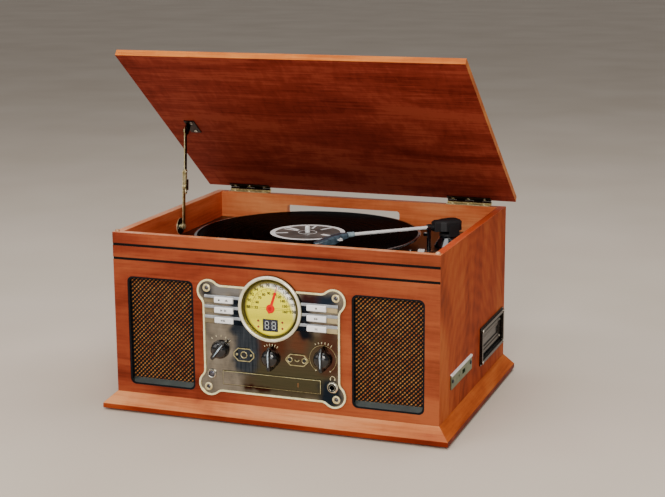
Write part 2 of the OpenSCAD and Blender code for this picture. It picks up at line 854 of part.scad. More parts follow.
module arm_gimbal() {
  color("black") on_arm() {
    translate([0, 0, deck_z - 5]) cylinder(r = arm_shaft_r, h = yoke_z - deck_z + 6);
    difference() {
      union() {
        translate([0, 0, yoke_z]) cylinder(r = arm_base_r - 6.5, h = yoke_t);
        for (s = [-1, 1]) {
          translate([-7, s > 0 ? yoke_in : -yoke_in - yoke_wall, yoke_z])
            cube([14, yoke_wall, arm_z - yoke_z + 3]);
          translate([-7, s > 0 ? 0 : -yoke_in - yoke_wall, yoke_z])
            cube([14, yoke_in + yoke_wall, yoke_t]);
        }
      }
    }
    for (s = [-1, 1]) translate([0, s * (yoke_in + yoke_wall), arm_z]) rotate([s * 90, 0, 0])
      cylinder(r = arm_pin_r, h = yoke_wall + 4);
  }
}

tube_end = arm_len - 44;

module arm_tube() {
  color("black") on_arm() difference() {
    union() {
      translate([-housing_rear, 0, arm_z - housing_h / 2 + 1.5]) {
        translate([0, -housing_w / 2, 0]) cube([housing_len - 8, housing_w, housing_h]);
        translate([housing_len - 8, -housing_w / 2 + 5, 0]) cube([8, housing_w - 10, housing_h - 3]);
      }
      translate([20, 0, arm_z]) rod_x(tube_r + 1.2, 0, 6);
      translate([20, 0, arm_z]) rod_x(tube_r, 0, tube_end - 20);
    }
    for (s = [-1, 1]) translate([0, s * (housing_w / 2 + eps), arm_z]) rotate([s * 90, 0, 0])
      cylinder(r = arm_pin_r + fit, h = 5 + eps);
  }
}

module head_shell() {
  s0 = tube_end;
  z0 = arm_z;
  record_top = record_z + record_t;
  color("slategray") on_arm() {
    difference() {
      union() {
        translate([0, 8, 0]) rotate([90, 0, 0]) linear_extrude(16)
          polygon([[s0 + 2, z0 - 3.4], [s0 + 2, z0 + 2.6], [s0 + 10, z0 + 3],
                   [s0 + 26, z0], [arm_len + 4, z0 - 5.4], [arm_len + 4, record_top + 1.6],
                   [s0 + 22, record_top + 1.6], [s0 + 14, z0 - 5]]);
        translate([s0, 0, z0]) rod_x(tube_r + 1.1, -7, 4);
      }
      translate([s0, 0, z0]) rod_x(tube_r + fit, -8, 0);
    }
    translate([arm_len - 3, 0, record_top + 0.5]) cylinder(r1 = 0.3, r2 = 1.4, h = 1.6);
    translate([s0 + 16, 7, z0 - 4]) cube([4, 7, 1.2]);
  }
}

// control plate

// Points of an arc round c, from angle a0 to a1
function arc(c, r, a0, a1, n) =
  [for (i = [0:n]) let(a = a0 + (a1 - a0) * i / n) [c[0] + r * cos(a), c[1] + r * sin(a)]];

// A quarter of the plate's outline, all edges drawn in by i
function plate_quarter(i) =
  let(
    top_x = lobe_x - sqrt(pow(lobe_r + neck_r, 2) - pow(plate_half_h + neck_r - lobe_z, 2)),
    side_z = lobe_z - sqrt(pow(lobe_r + neck_r, 2) - pow(plate_half_w + neck_r - lobe_x, 2)),
    side_c = [plate_half_w + neck_r, side_z],
    top_c = [top_x, plate_half_h + neck_r],
    to_side = atan2(side_c[1] - lobe_z, side_c[0] - lobe_x),
    to_top = atan2(top_c[1] - lobe_z, top_c[0] - lobe_x)
  )
  concat(
    arc(side_c, neck_r + i, 180, to_side + 180, 6),
    arc([lobe_x, lobe_z], lobe_r - i, to_side + 4, to_top - 4, 20),
    arc(top_c, neck_r + i, to_top + 180, 270, 6)
  );

module plate_outline(i = 0) {
  q = plate_quarter(i);
  n = len(q) - 1;
  polygon(concat(
    q,
    [for (k = [0:n]) [-q[n - k][0], q[n - k][1]]],
    [for (k = [0:n]) [-q[k][0], -q[k][1]]],
    [for (k = [0:n]) [q[n - k][0], -q[n - k][1]]]
  ));
}

module at_buttons() {
  for (sx = [-1, 1], k = [-1, 0, 1])
    translate([sx * button_x, k * button_pitch + button_z - plate_z]) children();
}

module face_plate() {
  color("gray") on_front(0, plate_z, 0) linear_extrude(plate_t) difference() {
    plate_outline();
    translate([0, dial_z - plate_z]) circle(r = bezel_r + fit);
    at_buttons() square([button_w + 2 * plate_hole, button_h + 2 * plate_hole], center = true);
    translate([0, tray_z - plate_z])
      square([tray_w + 2 * tray_gap, tray_h + 2 * tray_gap], center = true);
    for (s = [-1, 1]) translate([s * knob_x, knob_z - plate_z]) circle(r = shaft_r + plate_hole);
    translate([0, tuner_z - plate_z]) circle(r = shaft_r + plate_hole);
    translate([jack_x, jack_z - plate_z]) circle(r = 5 + fit);
    translate([lamp_x, lamp_z - plate_z]) circle(r = 3.5 + fit);
    for (sx = [-1, 1], sz = [-1, 1])
      translate([sx * (lobe_x + screw_dx), sz * (lobe_z + screw_dz)])
        circle(r = wood_screw_r + fit);
  }
}

module face_plate_trim() {
  color("wheat") on_front(0, plate_z, plate_t) linear_extrude(bead_t) difference() {
    plate_outline();
    plate_outline(bead_w);
    translate([0, dial_z - plate_z]) circle(r = bezel_r);
  }
}

module chrome_bars() {
  color("silver") difference() {
    for (sx = [-1, 1], k = [-1, 0, 1])
      translate([sx > 0 ? 20 : -plate_half_w + bead_w + 0.2, face_y, k * button_pitch + button_z])
        rotate([90, 0, 90]) linear_extrude(plate_half_w - bead_w - 0.2 - 20)
          polygon([[0, -bar_h / 2], [0, bar_h / 2], [-bar_d * 0.4, bar_h / 2],
                   [-bar_d, bar_h / 2 - 3.4], [-bar_d, -bar_h / 2 + 0.8],
                   [-bar_d + 0.8, -bar_h / 2]]);
    on_front(0, dial_z, plate_t - eps) cylinder(r = bezel_r + 0.1, h = bar_d + 2 * eps);
    for (sx = [-1, 1], k = [-1, 0, 1])
      on_front(sx * button_x, k * button_pitch + button_z, plate_t - eps)
        linear_extrude(bar_d + 2 * eps)
          square([button_w + 2 * plate_hole, button_h + 2 * plate_hole], center = true);
    on_front(0, plate_z, plate_t - eps) linear_extrude(bar_d + 2 * eps) difference() {
      square([300, 200], center = true);
      plate_outline(bead_w + 0.1);
    }
  }
}

module button(sx, k) {
  color("whitesmoke") on_front(sx * button_x, k * button_pitch + button_z, 0) {
    difference() {
      translate([0, 0, -0.5]) linear_extrude(plate_t + bar_d + button_out + 0.5)
        rrect(button_w, button_h, 0.8);
      for (t = [0, 1]) mirror([0, t, 0])
        translate([-button_w, button_h / 2 - 1.1, plate_t + bar_d + button_out])
          rotate([-40, 0, 0]) cube([2 * button_w, 4, 3]);
    }
    translate([0, 0, -1.9]) linear_extrude(1.4)
      square([button_w + 2, button_h + 1.8], center = true);
    translate([-2, -2, -11.8]) cube([4, 4, 10]);
  }
}

module left_button_top() { button(-1, 1); }
module left_button_middle() { button(-1, 0); }
module left_button_bottom() { button(-1, -1); }
module right_button_top() { button(1, 1); }
module right_button_middle() { button(1, 0); }
module right_button_bottom() { button(1, -1); }

module dial_bezel() {
  ring_mid = (bezel_r + bezel_in) / 2;
  crest = (bezel_r - bezel_in) / 2;
  color("silver") on_front(0, dial_z, 0) rotate_extrude() {
    translate([bezel_in, 0]) square([bezel_r - bezel_in, bezel_d - crest]);
    translate([ring_mid, bezel_d - crest]) circle(r = crest);
    translate([bezel_in - 1.2, 0]) square([1.4, lens_z]);
  }
}

module dial_lens() {
  color("lightcyan") on_front(0, dial_z, lens_z)
    cylinder(r = bezel_in - fit, h = lens_t);
}

display_x = -0.6;
display_z = dial_z - 21.5;
module dial_card() {
  color("khaki") on_front(0, dial_z, 0) linear_extrude(card_t) difference() {
    circle(r = bezel_in - 1.3);
    circle(r = 1.2);
    translate([display_x, display_z - dial_z])
      square([display_w + 0.2, display_h + 0.2], center = true);
  }
  color("midnightblue") on_front(display_x, display_z, -board_d) linear_extrude(board_d + 0.6)
    square([display_w, display_h], center = true);
}

module tuning_pointer() {
  color("red") on_front(0, dial_z, 0) rotate([0, 0, -pointer_at]) {
    translate([0, 0, 1.5]) cylinder(r = hub_r, h = 1.4);
    translate([0, 0, 1.7]) linear_extrude(0.7)
      polygon([[-1.5, 0], [1.5, 0], [0.9, pointer_len * 0.7], [0.4, pointer_len],
               [-0.4, pointer_len], [-0.9, pointer_len * 0.7]]);
    translate([0, 0, -board_d + 1]) cylinder(r = 1, h = board_d + 0.6);
  }
}

// The two lozenge plates: place across, width, height, cut of the corners
plate_l_x = -36;
plate_l_w = 28;
plate_l_h = 17;
plate_r_x = 35;
plate_r_w = 30;
plate_r_h = 15;
plate_cut = 6;
plate_under = 4;
eye_r = 4.2;

module indicator_plates() {
  color("gainsboro") {
    on_front(plate_l_x, knob_z - plate_under, plate_t) {
      linear_extrude(1.2) difference() {
        lozenge(plate_l_w, plate_l_h, plate_cut);
        circle(r = eye_r);
      }
      for (sx = [-1, 1], sy = [-1, 1])
        translate([sx * (plate_l_w / 2 - 4.6), sy * (plate_l_h / 2 - 4.9), 1.2])
          cylinder(r = 1.3, h = 0.7);
    }
    on_front(plate_r_x, knob_z - plate_under, plate_t) linear_extrude(1.2) difference() {
      lozenge(plate_r_w, plate_r_h, plate_cut);
      for (s = [-1, 1]) translate([s * (plate_r_w / 2 - 5.5), 0]) circle(r = 2.6);
      circle(r = 2);
    }
    on_front(lamp_x, lamp_z, plate_t) difference() {
      cylinder(r = 6, h = 2.2);
      translate([0, 0, -eps]) cylinder(r = 4, h = 2.2 + 2 * eps);
    }
  }
  color("darkslategray") {
    on_front(plate_l_x, knob_z - plate_under, plate_t) cylinder(r = eye_r - 0.3, h = 0.9);
    on_front(plate_r_x, knob_z - plate_under, plate_t) for (k = [-1, 0, 1])
      translate([k * (plate_r_w / 2 - 5.5), 0, 0]) cylinder(r = k == 0 ? 1.7 : 2.3, h = 0.7);
    on_front(lamp_x, lamp_z, -6) cylinder(r = 3.5, h = 6 + plate_t + 1.2);
  }
}

module headphone_jack() {
  color("silver") on_front(jack_x, jack_z, -wall_t) difference() {
    union() {
      translate([0, 0, wall_t + plate_t]) rotate_extrude()
        polygon([[0, 0], [jack_r, 0], [jack_r, 0.8], [jack_r - 1.6, 2.4], [0, 2.4]]);
      cylinder(r = 5, h = wall_t + plate_t + 0.5);
      translate([0, 0, -14]) cylinder(r = 7, h = 14);
    }
    translate([0, 0, -12]) cylinder(r = 3.2, h = 60);
  }
}

module knob(x, z, turn) {
  color("black") on_front(x, z, plate_t + 0.4) rotate([0, 0, -turn]) {
    cylinder(r = knob_r, h = 2.5);
    cylinder(r1 = knob_r - 0.4, r2 = knob_r - 1.6, h = knob_d);
    translate([0, 0, 1.2]) linear_extrude(knob_d - 1.2) rrect(grip_w, grip_len, grip_w / 2 - 0.2);
    translate([0, 0, knob_d]) rotate([0, 0, 90]) rotate([90, 0, 0]) translate([0, 0, -grip_w / 2])
      linear_extrude(grip_w)
        polygon([[-grip_len / 2 + 0.6, -0.5], [grip_len / 2 - 0.6, -0.5],
                 [grip_len / 2 - 3, grip_d - knob_d - 1.6], [grip_len / 2 - 6, grip_d - knob_d],
                 [-grip_len / 2 + 6, grip_d - knob_d], [-grip_len / 2 + 3, grip_d - knob_d - 1.6]]);
    translate([0, 0, -shaft_end - plate_t - 0.4]) cylinder(r = shaft_r, h = shaft_end + plate_t + 0.6);
  }
}

module selector_knob() { knob(-knob_x, knob_z, 38); }
module tuning_knob() { knob(0, tuner_z, 0); }
module volume_knob() { knob(knob_x, knob_z, 0); }

module main_board() {
  color("darkgreen") {
    difference() {
      on_front(0, (board_top + board_low) / 2, -board_d - board_t) linear_extrude(board_t)
        square([2 * (cut_half_w + board_side), board_top - board_low], center = true);
      on_front(display_x, display_z, -board_d - board_t - eps) linear_extrude(board_t + 2 * eps)
        square([6, 4], center = true);
    }
    for (sx = [-1, 1], z = [board_low + board_post, board_top - board_post])
      on_front(sx * (cut_half_w + board_side - 6), z, -board_d)
        cylinder(r = 3, h = board_d - wall_t);
  }
  color("gray") {
    for (sx = [-1, 1]) pot(sx * knob_x, knob_z);
    pot(0, tuner_z);
    on_front(0, dial_z, -board_d) difference() {
      cylinder(r = 4, h = 6);
      translate([0, 0, 0.5]) cylinder(r = 1 + fit, h = 6);
    }
    for (sx = [-1, 1], k = [-1, 0, 1])
      on_front(sx * button_x, k * button_pitch + button_z, -board_d)
        cylinder(r = 3, h = board_d - 11.8 - button_travel - 0.2);
  }
}

module pot(x, z) {
  on_front(x, z, -board_d) difference() {
    cylinder(r = pot_r, h = pot_d);
    translate([0, 0, board_d - shaft_end - 0.4]) cylinder(r = shaft_r + fit, h = pot_d);
  }
}

// grilles and speakers

// Clear opening inside a grille frame, g wider on each side
module frame_opening(g = 0) {
  rrect(grille_w - 2 * frame_t + 2 * g, grille_h - 2 * frame_t + 2 * g, grille_r - frame_t + 1);
}

module grille_frames() {
  foot = -grille_h / 2;
  cloth_face = wall_t - cloth_in + fit;
  color("darkslategray") for (s = [-1, 1]) on_front(s * grille_x, grille_z, -wall_t) {
    linear_extrude(wall_t - frame_in) difference() {
      rrect(grille_w - 0.1, grille_h - 0.1, grille_r);
      frame_opening();
    }
    intersection() {
      linear_extrude(wall_t) frame_opening(0.2);
      translate([-grille_w / 2, 0, 0]) rotate([90, 0, 90]) linear_extrude(grille_w)
        polygon([[foot, cloth_face], [foot + sill_h, cloth_face],
                 [foot + frame_t, wall_t - frame_in], [foot, wall_t - frame_in]]);
    }
  }
}

module grille_cloths() {
  color("tan") for (s = [-1, 1]) on_front(s * grille_x, grille_z, -cloth_in - cloth_t)
    linear_extrude(cloth_t)
      frame_opening(-fit);
}

module speakers() {
  color("dimgray") for (s = [-1, 1]) on_front(s * grille_x, grille_z, -wall_t) mirror([0, 0, 1]) {
    linear_extrude(baffle_t) difference() {
      rrect(grille_w + 2.4 * baffle_edge, grille_h + 2 * baffle_edge, 4);
      circle(r = cone_r);
    }
    rotate_extrude()
      polygon([[0, cone_d - 2], [cap_r, cone_d - 3], [cap_r + 2, cone_d], [cone_r, 1],
               [cone_r + 4, 1], [cone_r + 4, baffle_t + 2], [magnet_r - 6, cone_d + 5],
               [magnet_r, cone_d + 5], [magnet_r, speaker_d], [0, speaker_d]]);
  }
}
baffle_t = 3;
cone_d = 17;
cap_r = 10;

// disc tray

rail_z = tray_z - tray_h / 2 + 2.6;
mech_half = tray_in_w / 2 + 8;

module cd_mechanism() {
  z0 = rail_z - 7;
  z1 = rail_z + 24;
  y0 = front_y + 12;
  y1 = front_y + tray_len + 10;
  color("dimgray") {
    difference() {
      box(-mech_half, mech_half, y0, y1, z0, z1);
      box(-mech_half + 6, mech_half - 6, y0 - eps, y1 - 3, rail_z - 3, z1 - 3);
    }
    for (s = [-1, 1]) box(s > 0 ? mech_half - 18 : -mech_half + 8,
                          s > 0 ? mech_half - 8 : -mech_half + 18,
                          y0, y1 - 3, rail_z - 3.5, rail_z - 0.2);
    for (sx = [-1, 1], y = [y0 + 8, y1 - 8]) translate([sx * (mech_half - 8), y, floor_z])
      cylinder(r = 4.5, h = z0 - floor_z + 0.5);
  }
}

module cd_tray() {
  color("gray") difference() {
    union() {
      box(-tray_w / 2, tray_w / 2, front_y - plate_t - 1.2, front_y + 2,
          tray_z - tray_h / 2, tray_z + tray_h / 2);
      box(-tray_in_w / 2, tray_in_w / 2, front_y + 1.5, front_y + tray_len, rail_z, rail_z + 6);
    }
    translate([0, front_y + 8 + well_r, rail_z + 2.5]) cylinder(r = well_r, h = 10);
    translate([0, front_y + 8 + well_r, rail_z - eps]) linear_extrude(8) rrect(30, 90, 10);
  }
}

// cassette slot and sockets

module cassette_bezel() {
  color("dimgray") difference() {
    union() {
      on_right(cass_y, cass_z, 0) linear_extrude(1.6) rrect(cass_w, cass_h, 2);
      on_right(cass_y, cass_z, 1.6) linear_extrude(cass_d - 1.6) rrect(cass_w - 4, cass_h - 4, 1.5);
      on_right(cass_y, cass_z, -wall_t) linear_extrude(wall_t)
        rrect(slot_w + 2 * sleeve_t, slot_h + 2 * sleeve_t, 1.5);
    }
    on_right(cass_y, cass_z, -wall_t - eps) linear_extrude(wall_t + cass_d + 2 * eps)
      rrect(slot_w, slot_h, 1);
    on_right(cass_y, cass_z, 1.2) linear_extrude(cass_d) rrect(slot_w + 4, slot_h + 4, 1.5);
    translate([flap_axis_x, cass_y, flap_axis_z]) rotate([90, 0, 0])
      translate([0, 0, -slot_w / 2 - 1.4]) cylinder(r = flap_pin_r + fit, h = slot_w + 2.8);
    bezel_screw_places() translate([0, 0, -cass_d - eps])
      cylinder(r = wood_screw_r + fit, h = cass_d + 2 * eps);
  }
}

module cassette_flap() {
  color("black") translate([flap_axis_x, cass_y, flap_axis_z]) {
    rotate([90, 0, 0]) translate([0, 0, -slot_w / 2 - 1.1])
      cylinder(r = flap_pin_r, h = slot_w + 2.2);
    rotate([90, 0, 0]) translate([0, 0, -slot_w / 2 + 0.4])
      cylinder(r = flap_t / 2 + 0.5, h = slot_w - 0.8);
    box(-flap_t / 2, flap_t / 2, -slot_w / 2 + 0.4, slot_w / 2 - 0.4,
        -(slot_h - 2.2) + 0.5, 0);
  }
}

module cassette_mechanism() {
  w = slot_w + 6;
  h = slot_h + 6;
  d = 66;
  color("gray") on_right(cass_y, cass_z, -wall_t - d) difference() {
    linear_extrude(d) rrect(w, h, 2);
    translate([0, 0, 4]) linear_extrude(d) rrect(slot_w, slot_h, 1);
  }
  color("dimgray") for (s = [-1, 1]) on_right(cass_y + s * 21.25, cass_z, -wall_t - d + 4)
    cylinder(r = 4.5, h = 9);
  color("gray") for (s = [-1, 1])
    translate([in_x - d + 10, cass_y + s * (w / 2 - 6), floor_z])
      cylinder(r = 4, h = cass_z - h / 2 - floor_z);
}

rear_x = 120;
rear_z = 60;
rear_w = 96;
rear_h = 44;

module socket_plates() {
  color("silver") {
    on_right(input_y, input_z, 0) difference() {
      union() {
        linear_extrude(input_t) rrect(input_w, input_h, 1);
        translate([0, input_h / 2 - 1.2, input_t]) rotate([0, 90, 0])
          translate([0, 0, -input_w / 2 + 1]) cylinder(r = 0.8, h = input_w - 2);
        translate([0, 0, -wall_t - 8]) linear_extrude(wall_t + 8)
          rrect(input_w - 26.6, input_h - 6.1, 1.5);
      }
      translate([9, -1.5, -12]) linear_extrude(30) square([13, 5.6], center = true);
      translate([-13, -1.5, -12]) cylinder(r = 1.8, h = 30);
      for (s = [-1, 1]) translate([s * (input_w / 2 - 6), 0, -eps])
        cylinder(r = wood_screw_r + fit, h = 4);
    }
    on_back(rear_x, rear_z, 0) difference() {
      union() {
        linear_extrude(1.5) rrect(rear_w, rear_h, 2);
        translate([0, 0, -wall_t]) linear_extrude(wall_t) rrect(rear_w - 16.6, rear_h - 12.6, 1.5);
        for (dx = [-22, -6]) translate([dx, 0, 1.5]) cylinder(r = 4.2, h = 3.4);
        translate([28, 0, 1.5]) cylinder(r = 6.5, h = 3);
      }
      for (dx = [-22, -6]) translate([dx, 0, -6]) cylinder(r = 1.6, h = 30);
      translate([28, 0, -wall_t - eps]) cylinder(r = 3.2, h = 30);
    }
  }
}

module power_transformer() {
  color("dimgray") translate([trans_x, cab_cy + trans_back, floor_z]) {
    translate([-core_w / 2, -core_d / 2, 0]) cube([core_w, core_d, core_h]);
    translate([-core_w / 2 - 6, -core_d / 4, 0]) cube([core_w + 12, core_d / 2, 2]);
    translate([-coil_w / 2, -coil_d / 2, 6]) cube([coil_w, coil_d, core_h - 10]);
  }
}
trans_x = -165;
trans_back = 100;
core_w = 56;
core_d = 44;
core_h = 34;
coil_w = 40;
coil_d = 56;

module panel_screws() {
  color("silver") {
    plate_screw_places() screw(plate_screw_r, 1.6, wood_screw_r, wood_screw_len + plate_t);
    bezel_screw_places() screw(2.4, 0.9, wood_screw_r, wood_screw_len + cass_d);
    input_screw_places() screw(2.4, 0.9, wood_screw_r, wood_screw_len + input_t);
    rim_screw_places() screw(2.2, 0.7, wood_screw_r, wood_screw_len + leaf_t);
    stay_wall_screw_places() screw(2.4, 0.9, wood_screw_r, wood_screw_len + stay_plate_t);
  }
}

// lid

module lid_panel() {
  color("saddlebrown") difference() {
    on_lid() box(-half_w - lid_side, half_w + lid_side, -lid_reach, -lid_back,
                 lid_off, lid_off + lid_t);
    lid_screw_places() pilot(leaf_t - 0.6);
    stay_lid_screw_places() pilot(stay_plate_t - 0.6);
  }
}

module hinge_lid_leaves() {
  color("darkgoldenrod") on_lid() for (s = [-1, 1]) translate([s * hinge_x, 0, 0])
    difference() {
      union() {
        fixed_knuckles(1);
        box(-hinge_len / 2, hinge_len / 2, -leaf_w, 0, lid_off - leaf_t, lid_off);
      }
      knuckle_notches(0, 0, lid_off + eps);
      rod_x(pin_r + fit, -hinge_len, hinge_len);
      for (k = [-1, 0, 1]) translate([k * hinge_len * 0.36, -leaf_w / 2 - 1.2, 0])
        cylinder(r = wood_screw_r + fit, h = 2 * lid_off);
    }
}

module lid_screws() {
  color("silver") {
    lid_screw_places() screw(2.2, 0.7, wood_screw_r, wood_screw_len - 0.6 + leaf_t);
    stay_lid_screw_places() screw(2.4, 0.9, wood_screw_r, wood_screw_len - 0.6 + stay_plate_t);
  }
}

module stay_lid_bracket() {
  color("darkgoldenrod") on_lid() {
    difference() {
      box(ear_x, ear_x + 15, -stay_along - 15, -stay_along + 15, lid_off - stay_plate_t, lid_off);
      for (k = [-1, 1]) translate([ear_x + 9, -stay_along + k * 10, 0])
        cylinder(r = wood_screw_r + fit, h = 2 * lid_off, center = true);
    }
    box(ear_x, ear_x + ear_t, -stay_along - 6, -stay_along + 6, stay_pz0, lid_off);
    translate([0, -stay_along, stay_pz0]) {
      rod_x(6, ear_x, ear_x + ear_t);
      rod_x(stay_pin_r, upper_x - 0.4, ear_x + 0.5);
      rod_x(stay_pin_r + 1.4, upper_x - 1.3, upper_x - 0.2);
    }
  }
}

// A flat arm along +Y from its pivot hole, at x = 0..stay_t
module stay_link(len, ext, boss_side) {
  difference() {
    union() {
      rotate([90, 0, 90]) linear_extrude(stay_t) {
        circle(r = stay_w / 2 + 1);
        translate([0, -stay_w / 2]) square([len + ext, stay_w]);
        translate([len, 0]) circle(r = stay_w / 2 + 0.6);
        translate([len + ext, 0]) circle(r = stay_w / 2 + (ext > 0 ? 0.4 : 0.6));
      }
      translate([0, len, 0]) rod_x(stay_pin_r + 1, boss_side > 0 ? 0.5 : -1,
                                   boss_side > 0 ? stay_t + 1 : 0.5);
    }
    rod_x(stay_pin_r + fit, -eps, stay_t + eps);
  }
}

module stay_lower_arm() {
  color("darkgoldenrod") translate([lower_x, stay_by, stay_bz]) rotate([stay_ang, 0, 0])
    stay_link(stay_a, stay_catch, -1);
}

module stay_upper_arm() {
  color("darkgoldenrod") translate([upper_x, stay_py, stay_pz]) rotate([stay_ang + 180, 0, 0])
    stay_link(stay_b, 0, 1);
}

base_moulding();
bottom_panel();
front_panel();
left_side_panel();
right_side_panel();
back_panel();
rubber_feet();
front_stripes();
hinge_fixed_leaves();
stay_wall_bracket();
deck_plate();
platter_bearing();
drive_motor();
drive_belt();
tonearm_base();
face_plate();
face_plate_trim();
chrome_bars();
dial_bezel();
dial_lens();
dial_card();
indicator_plates();
headphone_jack();
grille_frames();
grille_cloths();
speakers();
cd_mechanism();
cassette_bezel();
cassette_mechanism();
socket_plates();
main_board();
power_transformer();
panel_screws();
lid_panel();
hinge_lid_leaves();
stay_lid_bracket();
lid_screws();
stay_upper_arm();
stay_lower_arm();
platter();
spindle();
record();
motor_pulley();
arm_gimbal();
arm_tube();
head_shell();
cue_lever();
selector_knob();
tuning_knob();
volume_knob();
tuning_pointer();
left_button_top();
left_button_middle();
left_button_bottom();
right_button_top();
right_button_middle();
right_button_bottom();
cd_tray();
cassette_flap();
speed_lever();
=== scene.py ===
"""Retro record player: finishes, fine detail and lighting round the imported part."""

import bpy
import bmesh
import math
from mathutils import Matrix, Vector


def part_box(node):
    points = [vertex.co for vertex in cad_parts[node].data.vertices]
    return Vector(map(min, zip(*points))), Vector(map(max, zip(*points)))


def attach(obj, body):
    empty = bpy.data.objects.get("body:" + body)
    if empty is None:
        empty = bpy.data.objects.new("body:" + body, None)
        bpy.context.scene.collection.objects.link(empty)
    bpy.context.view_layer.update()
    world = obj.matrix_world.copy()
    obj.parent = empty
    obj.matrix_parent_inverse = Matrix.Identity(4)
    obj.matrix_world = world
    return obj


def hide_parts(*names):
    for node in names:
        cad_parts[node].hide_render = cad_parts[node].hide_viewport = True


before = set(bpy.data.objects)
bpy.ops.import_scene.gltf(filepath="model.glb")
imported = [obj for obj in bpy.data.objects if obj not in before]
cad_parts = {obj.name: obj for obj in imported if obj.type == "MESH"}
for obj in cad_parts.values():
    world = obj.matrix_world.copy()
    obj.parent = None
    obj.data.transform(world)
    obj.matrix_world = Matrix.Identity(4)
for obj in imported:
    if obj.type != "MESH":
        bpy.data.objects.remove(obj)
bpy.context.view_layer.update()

# measures in millimetres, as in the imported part
MM = 0.001
# outer and inner face of the front panel, and of a side panel
FRONT_Y, IN_FRONT = -157.2, -147.2
HALF_W, IN_X = 216.0, 206.0
# control plate: its thickness, and the heights of its middle and of the dial's middle
PLATE_T, PLATE_Z, DIAL_Z = 1.6, 107.0, 151.0
# height of the hinge pins, and the slope of the open lid in degrees
HINGE_Z, LID_OPEN = 235.95, 37.55
# spindle, seen from above, and the record's upper face
PLATTER, RECORD_TOP = (-15.9, 11.9), 212.5
# tonearm: its pivot seen from above, its direction in degrees, height and end of its tube
ARM, ARM_DIR = (166.0, 60.0), 222.5
ARM_Z, TUBE_END = 223.8, 144.0
# middles of the cassette flap and of the input plate on the right side
CASSETTE, INPUT = (93.8, 68.8), (-61.0, 63.8)


def put(name, data):
    """A new object in the scene."""
    obj = bpy.data.objects.new(name, data)
    bpy.context.scene.collection.objects.link(obj)
    return obj


def frame_of(x, y, z, origin):
    """Matrix of three axes and an origin."""
    return Matrix([*zip(x, y, z, origin), (0, 0, 0, 1)])


def place(origin, x_axis, y_axis):
    """Frame of a face: millimetres along its own axes to metres in the room."""
    x, y = Vector(x_axis).normalized(), Vector(y_axis).normalized()
    return Matrix.Scale(MM, 4) @ frame_of(x, y, x.cross(y), origin)


def on_front(x, z, out=0.0):
    """Frame on the front, or so far out of it: x to the right and y up."""
    return place((x, FRONT_Y - out, z), (1, 0, 0), (0, 0, 1))


def on_right(y, z, out=0.0):
    """Frame on the right side, or so far out of it: x to the back and y up."""
    return place((HALF_W + out, y, z), (0, 1, 0), (0, 0, 1))


def on_level(x, y, z, turn=0.0):
    """Frame that lies flat, turned by so many degrees."""
    a = math.radians(turn)
    return place((x, y, z), (math.cos(a), math.sin(a), 0), (-math.sin(a), math.cos(a), 0))


# camera, fitted to the corners of the cabinet in the photo: to its right, up, back, and place
camera = put("camera", bpy.data.cameras.new("camera"))
camera.data.lens = 79.18
camera.data.sensor_width = 36
camera.matrix_world = frame_of((0.9391, 0.3435, -0.0063), (-0.0679, 0.2033, 0.9768),
                               (0.3368, -0.9169, 0.2142), (0.6718, -1.7646, 0.6077))
bpy.context.scene.camera = camera


# materials
def tone(hexa):
    """sRGB hex colour as linear RGBA."""
    v = [int(hexa[i:i + 2], 16) / 255 for i in (1, 3, 5)]
    return [c / 12.92 if c <= 0.04045 else ((c + 0.055) / 1.055) ** 2.4 for c in v] + [1.0]


def feed(tree, node, inputs):
    """Gives a node's inputs a value each, or a link from a node or from one of its outputs."""
    for key, value in inputs.items():
        if isinstance(value, bpy.types.Node):
            value = value.outputs[0]
        if isinstance(value, bpy.types.NodeSocket):
            tree.links.new(value, node.inputs[key])
        else:
            node.inputs[key].default_value = value


def add(tree, kind, inputs=None, stops=None, **settings):
    """Adds one node: its settings, its input values or links, and its colour stops."""
    node = tree.nodes.new("ShaderNode" + kind)
    for key, value in settings.items():
        setattr(node, key, value)
    feed(tree, node, inputs or {})
    if stops:
        marks = node.color_ramp.elements
        while len(marks) < len(stops):
            marks.new(0.5)
        for mark, (at, hexa) in zip(marks, stops):
            mark.position, mark.color = at, tone(hexa)
    return node


def start(name, **surface):
    """New material with its shader's constant values set on the shader itself."""
    mat = bpy.data.materials.new(name)
    mat.use_nodes = True
    tree = mat.node_tree
    tree.nodes.clear()
    shader = add(tree, "BsdfPrincipled", {k.replace("_", " "): v for k, v in surface.items()})
    add(tree, "OutputMaterial", {"Surface": shader})
    return mat, tree, shader


def local(tree, turn=(0, 0, 0), stretch=(1, 1, 1), centre=(0, 0, 0)):
    """Object coordinates, centred, turned and stretched."""
    where = add(tree, "TexCoord").outputs["Object"]
    turned = add(tree, "Mapping", {"Vector": where, "Rotation": [math.radians(a) for a in turn],
                                   "Location": centre}, vector_type="POINT")
    return add(tree, "VectorMath", {0: turned, 1: stretch}, operation="MULTIPLY")


def relief(tree, shader, height, depth_mm, strength):
    """Bumps of a given depth where a pattern is high."""
    feed(tree, shader, {"Normal": add(tree, "Bump", {
        "Height": height, "Distance": depth_mm * MM, "Strength": strength})})


def speckle(tree, wide_mm, detail=2.0, stretch=(1, 1, 1), turn=(0, 0, 0), distortion=0.0):
    """Cloudy variation whose patches are about wide_mm wide."""
    return add(tree, "TexNoise", {"Vector": local(tree, turn, stretch), "Scale": 1 / (wide_mm * MM),
                                  "Detail": detail, "Roughness": 0.55, "Distortion": distortion})


def blend_of(tree, factor, a, b, mode="MIX"):
    """Colour a passing into colour b by a factor: sockets 6, 7 and 2 are the colour ones."""
    return add(tree, "Mix", {0: factor, 6: a, 7: b}, data_type="RGBA", blend_type=mode).outputs[2]


def smooth_step(tree, value, low, high):
    """0 below low, 1 above high and a soft change between."""
    return add(tree, "MapRange", {"Value": value, "From Min": low, "From Max": high},
               interpolation_type="SMOOTHSTEP")


